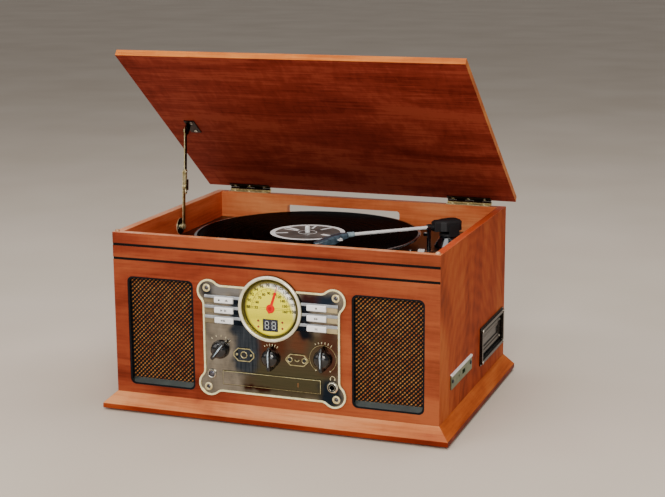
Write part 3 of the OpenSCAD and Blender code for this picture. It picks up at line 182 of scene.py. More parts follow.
# how much the fine streaks of a veneer show, and the turns of its grain in degrees
USUAL_LINES = 0.34
UPRIGHT_GRAIN, ACROSS, LID_GRAIN = (0, 90, 0), (0, 0, 90), (LID_OPEN, 0, 0)


def veneer(name, dark, mid, light, turn=(0, 0, 0), figure=1.0, gloss=0.34, lustre=0.22,
           arches=None, mottle=0.1, lines=USUAL_LINES, warmer=None):
    """Cherry veneer, sliced, stained red and sprayed with satin lacquer: fine streaks 2.6 mm
    wide along the grain, a slow drift of tone over 62 mm, short open pores, drawn 0.8 mm wide
    so that they show, and a faint mottle of 9 mm flecks across it. arches gives the foot of a
    crown-cut figure in mm, lines says how much the fine streaks show, and warmer gives the
    axis and the two places in mm between which the colour turns lighter and more orange."""
    mat, tree, shader = start(name, Roughness=gloss, IOR=1.45, Specular_IOR_Level=lustre)
    drift = speckle(tree, 62, 3, (0.28, 1, 1), turn, 0.9)
    streak = speckle(tree, 2.6, 3, (0.14 if arches else 0.045, 1, 1), turn)
    if arches:
        foot = local(tree, turn, (0.62, 1, 1), (-arches[0] * MM, -arches[1] * MM, 0))
        swirl = add(tree, "TexWave", {"Vector": foot, "Scale": 24, "Distortion": 9, "Detail": 3,
                                      "Detail Scale": 0.8}, wave_type="RINGS", rings_direction="Z")
    else:
        swirl = add(tree, "TexWave", {"Vector": local(tree, turn, (0.22, 1, 1)), "Scale": 7.5,
                                      "Distortion": 11, "Detail": 3, "Detail Scale": 1.3},
                    wave_type="BANDS", bands_direction="Y")
    flecks = speckle(tree, 9, 3, (1, 0.35, 0.35), turn, 0.8)
    pores = speckle(tree, 0.8, 2, (0.06, 1, 1), turn)
    grain = 0.0
    for pattern, share in ((drift, 0.95), (streak, lines), (swirl, 0.13 * figure),
                           (flecks, mottle)):
        grain = add(tree, "Math", {0: pattern, 1: share, 2: grain}, operation="MULTIPLY_ADD")
    # each pattern's mean is about a half, so the stops move by half of what was added
    shift = (mottle + lines - USUAL_LINES) / 2
    ground = add(tree, "ValToRGB", {"Fac": grain},
                 [(0.44 + shift, dark), (0.66 + shift, mid), (0.9 + shift, light)])
    if warmer:
        axis, low, high = warmer
        along = add(tree, "SeparateXYZ", {0: local(tree)}).outputs[axis]
        ground = blend_of(tree, smooth_step(tree, along, low * MM, high * MM), ground,
                          tone("#271F0C"), "ADD")
    dots = add(tree, "ValToRGB", {"Fac": pores}, [(0.0, "#6A5A52"), (0.42, "#FFFFFF")])
    feed(tree, shader, {"Base Color": blend_of(tree, 0.6, ground, dots, "MULTIPLY")})
    relief(tree, shader, streak, 0.05, 0.3)
    return mat


def fibreboard():
    """Hardboard, pressed: matt brown with short fibres, drawn 0.9 mm wide so that they show."""
    mat, tree, shader = start("pressed_hardboard", Roughness=0.8)
    fibres = speckle(tree, 0.9, 5, (1, 0.4, 1))
    feed(tree, shader, {"Base Color": add(tree, "ValToRGB", {"Fac": fibres},
                                          [(0.3, "#5E452C"), (0.7, "#8A6B48")])})
    relief(tree, shader, fibres, 0.08, 0.5)
    return mat


def moulded(name, dark, light, rough, grain_mm=0.35, depth=0.02, coat=0.0, drift_mm=25,
            lit=0.0):
    """Injection-moulded plastic, or a printed or sprayed film: an even tone with a faint flow
    drift and a fine texture. Very matt ones also mirror less. lit gives the colour a faint
    painted glow."""
    mat, tree, shader = start(name, Roughness=rough, IOR=1.5, Coat_Weight=coat, Coat_Roughness=0.08,
                              Specular_IOR_Level=0.15 if rough > 0.6 else 0.5,
                              Emission_Strength=lit)
    shade = add(tree, "ValToRGB", {"Fac": speckle(tree, drift_mm, 3)},
                [(0.35, dark), (0.65, light)])
    feed(tree, shader, {"Base Color": shade, "Emission Color": shade} if lit else
         {"Base Color": shade})
    relief(tree, shader, speckle(tree, grain_mm, 2), depth, 0.4)
    return mat


def plated(name, dark, light, rough, drift_mm, brush=(1, 1, 1), metal=1.0):
    """Plated or polished metal: cloudy tone with wear 0.5 mm wide, drawn out to hair lines
    where it was brushed. A satin flash over lacquer shows less than full metal."""
    mat, tree, shader = start(name, Metallic=metal)
    clouds = speckle(tree, drift_mm, 4, distortion=0.6)
    wear = speckle(tree, 0.5, 3, brush)
    feed(tree, shader, {
        "Base Color": add(tree, "ValToRGB", {"Fac": clouds}, [(0.34, dark), (0.66, light)]),
        "Roughness": add(tree, "MapRange", {"Value": wear, "From Min": 0.3, "From Max": 0.7,
                                            "To Min": rough, "To Max": rough + 0.06})})
    relief(tree, shader, wear, 0.004, 0.3)
    return mat


def soft_patch(tree, at, size, soft):
    """1 inside a block of the front given by its middle and half size in mm, and fading over
    twice soft at its edge, which wavers."""
    spot = local(tree, centre=(-at[0] * MM, 0, -at[1] * MM))
    bent = add(tree, "MixRGB", {0: 0.008, 1: spot, 2: speckle(tree, 18, 2).outputs["Color"]},
               blend_type="LINEAR_LIGHT")
    split = add(tree, "SeparateXYZ", {0: add(tree, "VectorMath", {0: bent}, operation="ABSOLUTE")})
    wide, high = [add(tree, "MapRange", {"Value": split.outputs[axis], "To Min": 1.0, "To Max": 0.0,
                                         "From Min": (half - soft) * MM,
                                         "From Max": (half + soft) * MM},
                      interpolation_type="SMOOTHSTEP") for axis, half in zip((0, 2), size)]
    return add(tree, "Math", {0: wide, 1: high}, operation="MULTIPLY").outputs[0]


def plate_metal():
    """Steel plate, nickel plated and mirror polished, with painted reflections: warm grey at the
    left, and blue-black and brown further right, painted as the reflection of a dark room, and
    a painted shadow under the disc tray. The hair lines are drawn 0.9 mm apart so that they show."""
    mat, tree, shader = start("nickel_plate_painted_reflections", Metallic=1.0, Roughness=0.14)
    clouds = speckle(tree, 16, 3, (1, 1, 0.5), distortion=0.4)
    colour = add(tree, "ValToRGB", {"Fac": clouds}, [(0.35, "#7C7870"), (0.65, "#A09B90")])
    # blue-black streaks of the painted reflection
    streaks = add(tree, "ValToRGB", {"Fac": speckle(tree, 2.2, 3, (1, 1, 0.06))},
                  [(0.3, "#27303C"), (0.7, "#4C5560")])
    # painted reflections, and a painted shadow under the disc tray at (-20, 47): middle, half size
    # and soft edge in mm, and colour
    for at, size, soft, shade in (
            ((26, 84), (64, 46), 12, "#5A5040"), ((0, 104), (22, 14), 9, "#5E3A2A"),
            ((-33, 100), (17, 34), 6, streaks), ((36, 112), (12, 14), 9, "#6E4A38"),
            ((30, 62), (50, 16), 12, "#56533F"), ((78, 50), (14, 16), 7, "#222C38"),
            ((78, 106), (12, 32), 9, "#5A3C30"), ((54, 167), (14, 9), 6, "#452A2A"),
            ((74, 166), (14, 10), 7, "#2A3648"), ((-84, 168), (9, 9), 6, "#1A2432"),
            ((46, 140), (8, 26), 5, "#1C2028"), ((-46, 140), (8, 24), 5, "#323A46"),
            ((-60, 170), (18, 6), 5, "#8F9296"), ((-20, 47), (16, 3), 3, "#3A1A14")):
        shade = tone(shade) if isinstance(shade, str) else shade
        colour = blend_of(tree, soft_patch(tree, at, size, soft), colour, shade)
    hair = speckle(tree, 0.9, 3, (0.03, 1, 1))
    lines = add(tree, "ValToRGB", {"Fac": hair}, [(0.3, "#D4D4D4"), (0.6, "#FFFFFF")])
    feed(tree, shader, {"Base Color": blend_of(tree, 0.5, colour, lines, "MULTIPLY")})
    relief(tree, shader, hair, 0.012, 0.3)
    return mat


def vinyl():
    """Vinyl record, pressed: glossy black with a faint red-brown body, grooves drawn 0.8 mm
    apart so that they show, and smooth gaps between the tracks."""
    mat, tree, shader = start("pressed_vinyl", IOR=1.05, Specular_IOR_Level=0.08)
    disc = local(tree, centre=(-PLATTER[0] * MM, -PLATTER[1] * MM, 0))
    level = add(tree, "VectorMath", {0: disc, 1: (1, 1, 0)}, operation="MULTIPLY")
    radius = add(tree, "VectorMath", {0: level}, operation="LENGTH").outputs["Value"]
    groove = add(tree, "Math", {0: add(tree, "Math", {0: radius, 1: 2 * math.pi / (0.8 * MM)},
                                       operation="MULTIPLY")}, operation="SINE")
    tracks = add(tree, "TexNoise", {"W": radius, "Scale": 160, "Detail": 2}, noise_dimensions="1D")
    feed(tree, shader, {
        "Base Color": add(tree, "ValToRGB", {"Fac": tracks},
                          [(0.42, "#010101"), (0.62, "#060202")]),
        "Roughness": add(tree, "MapRange", {"Value": tracks, "From Min": 0.4, "From Max": 0.62,
                                            "To Min": 0.16, "To Max": 0.3})})
    relief(tree, shader, groove, 0.02, 0.25)
    return mat


def dial_paper():
    """Printed dial paper, lit from behind: lemon yellow, a painted white glare along the upper
    right edge, khaki below the middle, a painted olive shadow at its edge and paper fibres 1.4 mm
    wide."""
    mat, tree, shader = start("printed_dial_paper_painted_glare_and_shade", Roughness=0.62, Emission_Strength=0.62)
    dial = local(tree, centre=(0, 0, -DIAL_Z * MM))
    split = add(tree, "SeparateXYZ", {0: dial})

    def beyond(x, z, low, high):
        """0 nearer than low to a point of the dial, and 1 further away than high."""
        away = add(tree, "VectorMath", {0: dial, 1: (x * MM, FRONT_Y * MM, z * MM)},
                   operation="DISTANCE").outputs["Value"]
        return smooth_step(tree, away, low * MM, high * MM)

    height = add(tree, "MapRange", {"Value": split.outputs[2], "From Min": -36 * MM,
                                    "From Max": 20 * MM})
    ground = add(tree, "ValToRGB", {"Fac": height},
                 [(0.0, "#FCEA14"), (0.14, "#F0DE0E"), (0.42, "#C6BA0A"), (0.62, "#DED20E"),
                  (1.0, "#ECE018")])
    # a painted white glare towards the upper right, then the painted shadow of the bezel round the
    # edge
    paper = blend_of(tree, beyond(-9, -13, 37, 46.5), ground, tone("#FFFFFF"))
    paper = blend_of(tree, beyond(0, -1.6, 30, 34.5), paper, tone("#5E5410"))
    fibre = add(tree, "ValToRGB", {"Fac": speckle(tree, 1.4, 4)},
                [(0.25, "#DAD8CC"), (0.6, "#FFFFFF")])
    colour = blend_of(tree, 0.5, paper, fibre, "MULTIPLY")
    feed(tree, shader, {"Base Color": colour, "Emission Color": colour})
    return mat


def glass():
    """Dial glass, polished float glass: clear, with a faint haze in patches 9 mm wide."""
    mat, tree, shader = start("dial_glass", Roughness=0.03, IOR=1.5, Alpha=0.04)
    feed(tree, shader, {"Base Color": add(tree, "ValToRGB", {"Fac": speckle(tree, 9)},
                                          [(0.3, "#1A2022"), (0.7, "#2A3032")])})
    return mat


def grille_weave():
    """Speaker cloth, woven of black and bronze yarn: the bronze crossings stand 5.6 mm apart
    in a row, each row is shifted by half, and the yarn leads on from one crossing to the
    next above it on the right. The real threads are finer and wouldn't show."""
    mat, tree, shader = start("woven_speaker_cloth", Roughness=0.7, Specular_IOR_Level=0.2)
    split = add(tree, "SeparateXYZ", {0: local(tree)})
    slant = add(tree, "Math", {0: split.outputs[0], 1: split.outputs[2]}, operation="SUBTRACT")
    waves = []
    for along in (split.outputs[0], split.outputs[2], slant):
        phase = add(tree, "Math", {0: along, 1: 2 * math.pi / (5.6 * MM)}, operation="MULTIPLY")
        waves.append(add(tree, "Math", {0: phase}, operation="COSINE"))
    dots = add(tree, "Math", {0: waves[0], 1: waves[1]}, operation="MULTIPLY")
    cross = add(tree, "Math", {0: waves[2], 1: 0.36, 2: dots}, operation="MULTIPLY_ADD")
    bronze = add(tree, "ValToRGB", {"Fac": speckle(tree, 7, 3)},
                 [(0.35, "#8A461C"), (0.65, "#AE7638")])
    spot = add(tree, "MapRange", {"Value": cross, "From Min": 0.22, "From Max": 1.0})
    feed(tree, shader, {"Base Color": blend_of(tree, spot, tone("#020405"), bronze)})
    relief(tree, shader, cross, 0.5, 0.9)
    return mat


def bar_metal():
    """Front of the chromed bars: mirror bright, with a painted reflection that is blue-black next
    to the dial, beige-grey at the left end and cream at the right end, with a soft drift 12 mm
    wide."""
    mat, tree, shader = start("chrome_bar_front_painted_reflection", Metallic=1.0, Roughness=0.1)
    split = add(tree, "SeparateXYZ", {0: local(tree)})
    side = add(tree, "Math", {0: split.outputs[0]}, operation="ABSOLUTE")
    moved = add(tree, "Math", {0: speckle(tree, 12, 3), 1: 12 * MM, 2: side},
                operation="MULTIPLY_ADD")
    along = add(tree, "MapRange", {"Value": moved, "From Min": 46 * MM, "From Max": 96 * MM})
    left, right = [add(tree, "ValToRGB", {"Fac": along},
                       [(0.0, "#141B26"), (0.2, "#1E2733"), (0.5, near), (0.8, far)])
                   for near, far in (("#6E685C", "#978E78"), ("#8B8372", "#CFC49E"))]
    on_right_half = add(tree, "Math", {0: split.outputs[0], 1: 0.0}, operation="GREATER_THAN")
    feed(tree, shader, {"Base Color": blend_of(tree, on_right_half, left, right)})
    relief(tree, shader, speckle(tree, 0.5, 2), 0.006, 0.3)
    return mat


# cherry veneer on board, stained and sprayed: the front shades from red to orange at its right
FRONT_WOOD = veneer("cherry_veneer_front", "#5C1C0E", "#843721", "#9C4F2E", lustre=0.1,
                    warmer=(0, -20, 230))
# sides: crown cut, with tall arches, and almost without shine
SIDE_WOOD = veneer("cherry_veneer_side", "#7C2A16", "#A84622", "#BC6230", UPRIGHT_GRAIN, 0.6,
                   0.5, 0.03, (-60, -10), warmer=(1, 60, -175))
# inside of the lid: a deeper red with dark flecks, and its outside: painted a lighter orange as the
# highlight on its top and edges
LID_WOOD = veneer("cherry_veneer_lid", "#5E1C12", "#7E2E20", "#8E3C2A", LID_GRAIN, 0.4,
                  0.55, 0.03, mottle=0.3, lines=0.52)
LID_OUTSIDE_PAINTED_HIGHLIGHT = veneer("cherry_veneer_lid_top_painted_highlight", "#A04E1E", "#C06A2C", "#D6863C", LID_GRAIN, 0.6,
                     0.4, 0.12, lines=0.5)
# inside of the well and the edges round it: paler, where the top light falls on the lacquer
RIM_WOOD = veneer("cherry_veneer_inside", "#9A4220", "#C2673A", "#D68A56", figure=0.8)
WALL_WOOD = veneer("cherry_veneer_inner_walls", "#A0341A", "#C8522C", "#DE7448", ACROSS, 0.8,
                   0.4, 0.1)
RIM_TOP = veneer("cherry_rim_top", "#C8643C", "#E08A58", "#F2B088", ACROSS, 0.6, 0.32, 0.3)
# moulding: the same veneer, wrapped round board: dark below, and painted paler on its slopes for
# the light from above
MOULD_WOOD = veneer("cherry_moulding", "#581A0A", "#7C2812", "#943E1E", figure=0.8, gloss=0.4,
                    lustre=0.04)
SLOPE_WOOD_PAINTED_LIGHT = veneer("cherry_moulding_slope_painted_light", "#984220", "#C0703E", "#D6905C", figure=0.8,
                    gloss=0.36)
SIDE_SLOPE_PAINTED_LIGHT = veneer("cherry_moulding_side_painted_light", "#88340E", "#B0541C", "#C47030", ACROSS, 0.8,
                    0.45, 0.06)
HARDBOARD = fibreboard()

# natural rubber, moulded: matt and slightly dusty
RUBBER = moulded("moulded_rubber", "#151413", "#24221F", 0.75, 0.6, 0.05)
# bump stops, cast from soft clear polyurethane: they take the colour of the wood
BUMPER = moulded("cast_polyurethane_bumper", "#A87C5A", "#CCA684", 0.35, 0.6, 0.02, 0.2)
# inlaid line, dyed to look like ebony and lacquered over: deep black without a gleam
INLAY = moulded("ebony_dyed_inlay", "#020101", "#050303", 0.7, 0.5, 0.02)
# brass, antiqued by dipping and rubbed on the edges: olive hollows and pale gold edges
OLD_BRASS = plated("antiqued_brass", "#8E8456", "#F2E6BA", 0.28, 7, metal=0.65)
KNUCKLE_BRASS = plated("rubbed_brass", "#A89866", "#E6DAAC", 0.3, 5, metal=0.7)
# flat sides of the stay and the face of its wall plate: the same brass, painted dark, less dark on
# the lower arm
DARK_SIDE_BRASS = plated("dark_side_brass", "#2C2412", "#4C401F", 0.3, 7)
OLIVE_BRASS = plated("olive_brass", "#62552E", "#8C7C48", 0.3, 7)
WALL_PLATE = plated("dark_faced_brass_plate", "#141812", "#2A3024", 0.25, 6)
# steel leaf under the lid: dark with a red-brown gleam, and the painted shade on the upper halves
# of the hinge knuckles
DARK_LEAF_AND_PAINTED_SHADE = plated("dark_steel_leaf_and_painted_shade", "#1C120E", "#3A241B", 0.3, 6)
# ABS, moulded in a polished tool: glossy black
GLOSS_BLACK = moulded("gloss_black_abs", "#040405", "#0B0C0F", 0.16, 0.5, 0.006, 0.25)
# knobs: the same, polished once more, with a cold shine on the dome
KNOB_BLACK = moulded("polished_black_knob_abs", "#040507", "#0A0D12", 0.12, 0.5, 0.003, 0.55)
# arm housing: the same plastic, straight from a fine-grained tool, so it is soft black
SOFT_BLACK = moulded("fine_grained_black_abs", "#101113", "#1C1D20", 0.5, 0.6, 0.02)
# levers and inner parts: ABS from a plain tool, satin
SATIN_BLACK = moulded("satin_black_abs", "#0B0B0D", "#17181B", 0.38, 0.4, 0.03)
# deck: ABS sheet, vacuum formed, satin with a fine leather grain
DECK_BLACK = moulded("vacuum_formed_black_abs", "#0A0807", "#161110", 0.36, 0.7, 0.04)
# head shell: dyed ABS from a polished tool, slate blue with pale drifts where it mirrors
SLATE = moulded("slate_blue_abs", "#2B3944", "#4E616F", 0.24, 0.5, 0.01, 0.4, 6)
# bearing and pulley: brass, turned, with a bright even shine
BEARING_BRASS = plated("turned_brass", "#9A7A3C", "#D9BE7A", 0.2, 6)
# motor can and transformer: sheet steel, zinc plated, a cool cloudy grey
ZINC_STEEL = plated("zinc_plated_steel", "#7F8387", "#AEB2B6", 0.28, 12)
# bead: brass flashed with pale gold and polished
BEAD_GOLD = plated("cream_gold_flash", "#F0E6A6", "#FFFBD2", 0.24, 9, metal=0.35)
# thin raised lines: the same flash, worn to a dull gold; it is also the painted highlight on the
# eased edge of the disc tray
DULL_GOLD_AND_EDGE_HIGHLIGHT = plated("worn_gold_line_and_painted_edge_highlight", "#8E8458", "#C2B888", 0.3, 4, metal=0.5)
# bezel: brass flashed with white gold and polished; its inner lip and its foot are painted olive as
# shade
BEZEL_GOLD = plated("white_gold_flash", "#EAE4C0", "#FFFDEC", 0.12, 10, metal=0.4)
OLIVE_PAINTED_SHADE = plated("olive_painted_shade", "#4C471A", "#5E5826", 0.3, 20)
# countersunk heads, blued and then polished grey
GREY_HEAD = plated("polished_grey_head", "#4C4C58", "#74747E", 0.22, 3)
# hollow of a countersunk recess: steel, blued by heat, almost black
BLUED = plated("blued_steel_recess", "#10151D", "#2A3644", 0.25, 4)
# steel, chromed: almost white with a cold shade, and softer on the top of the bars
CHROME = plated("bright_chrome", "#DADCE0", "#FAFBFD", 0.1, 14, metal=0.9)
BAR_TOP = plated("chromed_bar_top", "#B9BDC2", "#D6DADF", 0.3, 14)
# small plates and the jack: steel under warm chrome, polished, with a cream shine
CHAMPAGNE = plated("champagne_chrome", "#D2CBAE", "#F4F0DE", 0.12, 10, metal=0.85)
# arm tube: steel, satin chromed, painted a near-white base that stands in for the bright reflection
# of the chrome
PALE_CHROME_PAINTED_SHINE = plated("arm_tube_chrome_painted_shine", "#EDF1F5", "#FFFFFF", 0.25, 12, metal=0.15)
# screws: steel, nickel plated and bright, or passivated to a pale gold
SCREW_STEEL = plated("nickel_screw", "#9C9A90", "#D8D6CC", 0.18, 3)
GOLD_SCREW = plated("gold_passivated_screw", "#D8C588", "#FBF0C4", 0.26, 3, metal=0.6)
# flap frame: sheet metal under dark bronze lacquer, sprayed
BRONZE = plated("dark_bronze_lacquer", "#1E1B18", "#3C362E", 0.24, 10)
# input plate: aluminium, brushed level and passivated, grey-green with fine lines
GREEN_SILVER = plated("passivated_aluminium", "#64785A", "#7C8E6E", 0.3, 12, (0.05, 0.05, 1))
# buttons: ABS, sprayed with silver-white enamel, smooth with a clear shine
SILVER_PAINT = moulded("silver_white_enamel", "#F0F3F6", "#FDFEFF", 0.3, 0.4, 0.01, 0.5)
# grille frames: dyed ABS from a sparked tool, blue-black, with the sill painted lighter and greener
# for the light on it
GRILLE_SILL_PAINTED_LIGHT = moulded("grille_sill_painted_light", "#151C1A", "#27302C", 0.5, 0.4, 0.03)
GRILLE_DARK = moulded("dark_grille_frame", "#04080C", "#081017", 0.65, 0.4, 0.03)
# flap and its recess: ABS with a brown-black high gloss
BROWN_BLACK = moulded("brown_black_abs", "#0D0909", "#1C1514", 0.3, 0.5, 0.006, 0.12)
# circuit board: glass epoxy under green solder mask, slightly uneven
CIRCUIT_GREEN = moulded("green_circuit_board", "#0E3A1E", "#18502B", 0.35, 0.8, 0.02)
# pointer: dyed ABS, moulded matt, with a faint painted glow; deep red hub, and a pale tip that is a
# painted glare
RED_PAINTED_GLOW = moulded("signal_red_abs_painted_glow", "#D80000", "#EA0402", 0.65, 0.4, 0.01, lit=0.1)
RED_HUB = moulded("deep_red_hub", "#B40804", "#CC0C06", 0.65, 0.4, 0.01)
TIP_PAINTED_GLARE = moulded("needle_tip_painted_glare", "#D27A78", "#E09A94", 0.5, 0.4, 0.01, lit=0.1)
# ink, screen printed on enamel, paper and metal: a thin matt film
INK = moulded("screen_printed_black_ink", "#12120E", "#22211A", 0.55, 0.5, 0.01)
FAINT_INK = moulded("screen_printed_olive_ink", "#3E3814", "#565020", 0.6, 0.5, 0.01)
CREAM_INK = moulded("screen_printed_cream_ink", "#B9AE86", "#DDD3AE", 0.45, 0.5, 0.01)
# small lenses: tinted acrylic, moulded, unlit and glossy
MAROON_LENS = moulded("maroon_indicator_lens", "#7A0A28", "#9C1638", 0.3, 0.4, 0.01, 0.4)
AMBER_LENS = moulded("amber_indicator_lens", "#5E3A0E", "#8E5C1A", 0.3, 0.4, 0.01, 0.4)
# number display: dark blue acrylic window, polished, behind which white bars light up
DISPLAY_WINDOW = moulded("navy_display_window", "#0B1222", "#16213A", 0.18, 0.4, 0.005, 0.5)
DIGIT_WHITE = moulded("lit_white_digit_bar", "#B6C0C2", "#D6DEDE", 0.4, 0.4, 0.005)
# line along a knob's grip: polished ABS with a painted highlight, pale blue like the window light
GRIP_PAINTED_HIGHLIGHT = moulded("grip_painted_highlight", "#7F97AA", "#C6D6E2", 0.2, 0.4, 0.01, 0.5, 5)
# collar and cartridge: dyed ABS from a polished tool, pale blue
COLLAR_BLUE = moulded("pale_blue_abs_collar", "#7F98A6", "#A9BFCA", 0.25, 0.4, 0.01, 0.4, 5)
# record label: coated paper, printed grey and white; the white print glows a little, painted light
LABEL_GREY = moulded("label_paper_grey", "#55524F", "#74706C", 0.5, 0.8, 0.02)
LABEL_WHITE_PAINTED_GLOW = moulded("label_white_ink_painted_glow", "#EDEFF0", "#FFFFFF", 0.35, 0.6, 0.01, lit=0.22)
# rim of the record: the same vinyl, trimmed and polished
VINYL_RIM = moulded("trimmed_vinyl_rim", "#08090A", "#15171A", 0.18, 0.5, 0.006, 0.8)
BAR_FRONT_PAINTED_REFLECTION = bar_metal()
PLATE_NICKEL_PAINTED_REFLECTIONS = plate_metal()
VINYL = vinyl()
DIAL_PAPER_PAINTED_GLARE_AND_SHADE = dial_paper()
GLASS = glass()
CLOTH = grille_weave()

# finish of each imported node
NODE_FINISH = {node: finish for finish, nodes in (
    (MOULD_WOOD, "base_moulding"),
    (FRONT_WOOD, "front_panel"),
    (SIDE_WOOD, "left_side_panel right_side_panel"),
    (RIM_WOOD, "back_panel"),
    (LID_WOOD, "lid_panel"),
    (HARDBOARD, "bottom_panel"),
    (RUBBER, "rubber_feet drive_belt"),
    (INLAY, "front_stripes"),
    (KNUCKLE_BRASS, "hinge_fixed_leaves"),
    (OLD_BRASS, "stay_wall_bracket stay_upper_arm stay_lower_arm"),
    (DARK_LEAF_AND_PAINTED_SHADE, "hinge_lid_leaves stay_lid_bracket"),
    (DECK_BLACK, "deck_plate"),
    (BEARING_BRASS, "platter_bearing motor_pulley"),
    (ZINC_STEEL, "drive_motor power_transformer"),
    (GLOSS_BLACK, "tonearm_base platter arm_gimbal arm_tube selector_knob tuning_knob "
     "volume_knob"),
    (SATIN_BLACK, "speakers cd_mechanism cassette_mechanism cue_lever cassette_flap"),
    (SLATE, "head_shell"),
    (PLATE_NICKEL_PAINTED_REFLECTIONS, "face_plate cd_tray"),
    (BEAD_GOLD, "face_plate_trim"),
    (CHROME, "chrome_bars headphone_jack spindle speed_lever"),
    (CHAMPAGNE, "dial_bezel indicator_plates"),
    (GLASS, "dial_lens"),
    (DIAL_PAPER_PAINTED_GLARE_AND_SHADE, "dial_card"),
    (RED_PAINTED_GLOW, "tuning_pointer"),
    (SILVER_PAINT, "left_button_top left_button_middle left_button_bottom right_button_top "
     "right_button_middle right_button_bottom"),
    (GRILLE_DARK, "grille_frames"),
    (CLOTH, "grille_cloths"),
    (BRONZE, "cassette_bezel"),
    (GREEN_SILVER, "socket_plates"),
    (CIRCUIT_GREEN, "main_board"),
    (GOLD_SCREW, "panel_screws"),
    (SCREW_STEEL, "lid_screws"),
    (VINYL, "record"),
) for node in nodes.split()}
for node, finish in NODE_FINISH.items():
    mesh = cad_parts[node].data
    mesh.materials.clear()
    mesh.materials.append(finish)


# making of pieces
def number_faces(bm, rule):
    """Gives each face the number of its finish by rule(middle, normal)."""
    for face in bm.faces:
        face.material_index = int(rule(face.calc_center_median(), face.normal))


def number_new(bm, before, number):
    """Gives the faces that weren't there before the number of their finish."""
    for face in set(bm.faces) - before:
        face.material_index = number


def ease_edges(bm, edges, width, segments=2):
    """Rounds edges off."""
    bmesh.ops.bevel(bm, geom=edges, offset=width, offset_type="OFFSET", affect="EDGES",
                    segments=segments, profile=0.5, material=-1, clamp_overlap=True)


def hard_edges(edges, angle=0.5):
    """The edges whose faces meet at more than an angle in radians."""
    return [e for e in edges if e.calc_face_angle(0.0) > angle]


def edges_at(verts):
    """The edges at some points, each once and always in the same order."""
    return list(dict.fromkeys(e for v in verts for e in v.link_edges))


def raise_faces(bm, faces, height):
    """Extrudes flat faces upwards and gives back what was added."""
    grown = bmesh.ops.extrude_face_region(bm, geom=faces)["geom"]
    bmesh.ops.translate(bm, verts=[v for v in grown if isinstance(v, bmesh.types.BMVert)],
                        vec=(0, 0, height))
    return grown


def piece(name, bm, finishes, body, where=None, replaced=(), smooth=38, fix=True):
    """Puts a mesh in place, shades it with area-weighted normals, keeps edges over smooth
    degrees sharp, and says what it rides on. fix merges doubled points and turns the faces
    outwards; a mesh of shapes that were closed when they were made goes without."""
    if fix:
        bmesh.ops.remove_doubles(bm, verts=bm.verts, dist=1e-6)
        bmesh.ops.recalc_face_normals(bm, faces=bm.faces)
    if where is not None:
        bm.transform(where)
    for face in bm.faces:
        face.smooth = True
    mesh = bpy.data.meshes.new(name + "_draft")
    bm.to_mesh(mesh)
    bm.free()
    for finish in finishes if isinstance(finishes, (list, tuple)) else [finishes]:
        mesh.materials.append(finish)
    mesh.set_sharp_from_angle(angle=math.radians(smooth))
    draft = put(name + "_draft", mesh)
    draft.modifiers.new("weigh", "WEIGHTED_NORMAL").keep_sharp = True
    graph = bpy.context.evaluated_depsgraph_get()
    shape = bpy.data.meshes.new_from_object(draft.evaluated_get(graph))
    bpy.data.objects.remove(draft)
    bpy.data.meshes.remove(mesh)
    shape.name = name
    obj = put(name, shape)
    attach(obj, body)
    if replaced:
        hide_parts(*replaced)


def eased(node, body, width, finish=None, segments=2, leave=None, second=None, drop=None,
          merge=True):
    """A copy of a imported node, merged, with its edges over 27 degrees eased by width mm.
    leave(edge middle) keeps an edge sharp, second(middle, normal) numbers a face's finish,
    drop(point) leaves out what another piece stands for, and merge joins flat neighbours."""
    bm = bmesh.new()
    bm.from_mesh(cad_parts[node].data)
    bmesh.ops.remove_doubles(bm, verts=bm.verts, dist=2e-6)
    if drop:
        bmesh.ops.delete(bm, geom=[v for v in bm.verts if drop(v.co / MM)], context="VERTS")
    if merge:
        bmesh.ops.dissolve_limit(bm, angle_limit=math.radians(0.5), verts=bm.verts,
                                 edges=bm.edges)
    if width:
        hard = []
        for edge in bm.edges:
            middle = (edge.verts[0].co + edge.verts[1].co) / (2 * MM)
            if len(edge.link_faces) == 2 and edge.calc_face_angle(0.0) >= math.radians(27) \
                    and not (leave and leave(middle)):
                hard.append(edge)
        ease_edges(bm, hard, width * MM, segments)
    if second:
        number_faces(bm, lambda c, n: second(c / MM, n))
    piece(node + "_eased", bm, finish or NODE_FINISH[node], body, replaced=(node,),
          fix=False)


def lathe(profile, steps=48, bm=None, centre=(0, 0)):
    """Profile of (radius, height) turned once round Z."""
    bm = bm or bmesh.new()
    verts = [bm.verts.new((centre[0] + r, centre[1], z)) for r, z in profile]
    edges = [bm.edges.new(pair) for pair in zip(verts, verts[1:])]
    bmesh.ops.spin(bm, geom=verts + edges, cent=(centre[0], centre[1], 0), axis=(0, 0, 1),
                   angle=2 * math.pi, steps=steps, use_merge=True)
    return bm


def slab(outline, z0, z1, bm=None, ease=0.0, segments=2):
    """Outline in XY raised from z0 to z1, with its upper rim eased."""
    bm = bm or bmesh.new()
    face = bm.faces.new([bm.verts.new((x, y, z0)) for x, y in outline])
    grown = raise_faces(bm, [face], z1 - z0)
    if ease:
        ease_edges(bm, [e for e in grown if isinstance(e, bmesh.types.BMEdge)], ease, segments)
    return bm


def brick(size, at, bm=None, ease=0.0, turn=None):
    """Block of a given size round a point, with all its edges eased."""
    bm = bm or bmesh.new()
    made = bmesh.ops.create_cube(bm, size=1.0)["verts"]
    bmesh.ops.scale(bm, verts=made, vec=size)
    if turn:
        bmesh.ops.rotate(bm, verts=made, matrix=turn, cent=(0, 0, 0))
    bmesh.ops.translate(bm, verts=made, vec=at)
    if ease:
        ease_edges(bm, edges_at(made), ease)
    return bm


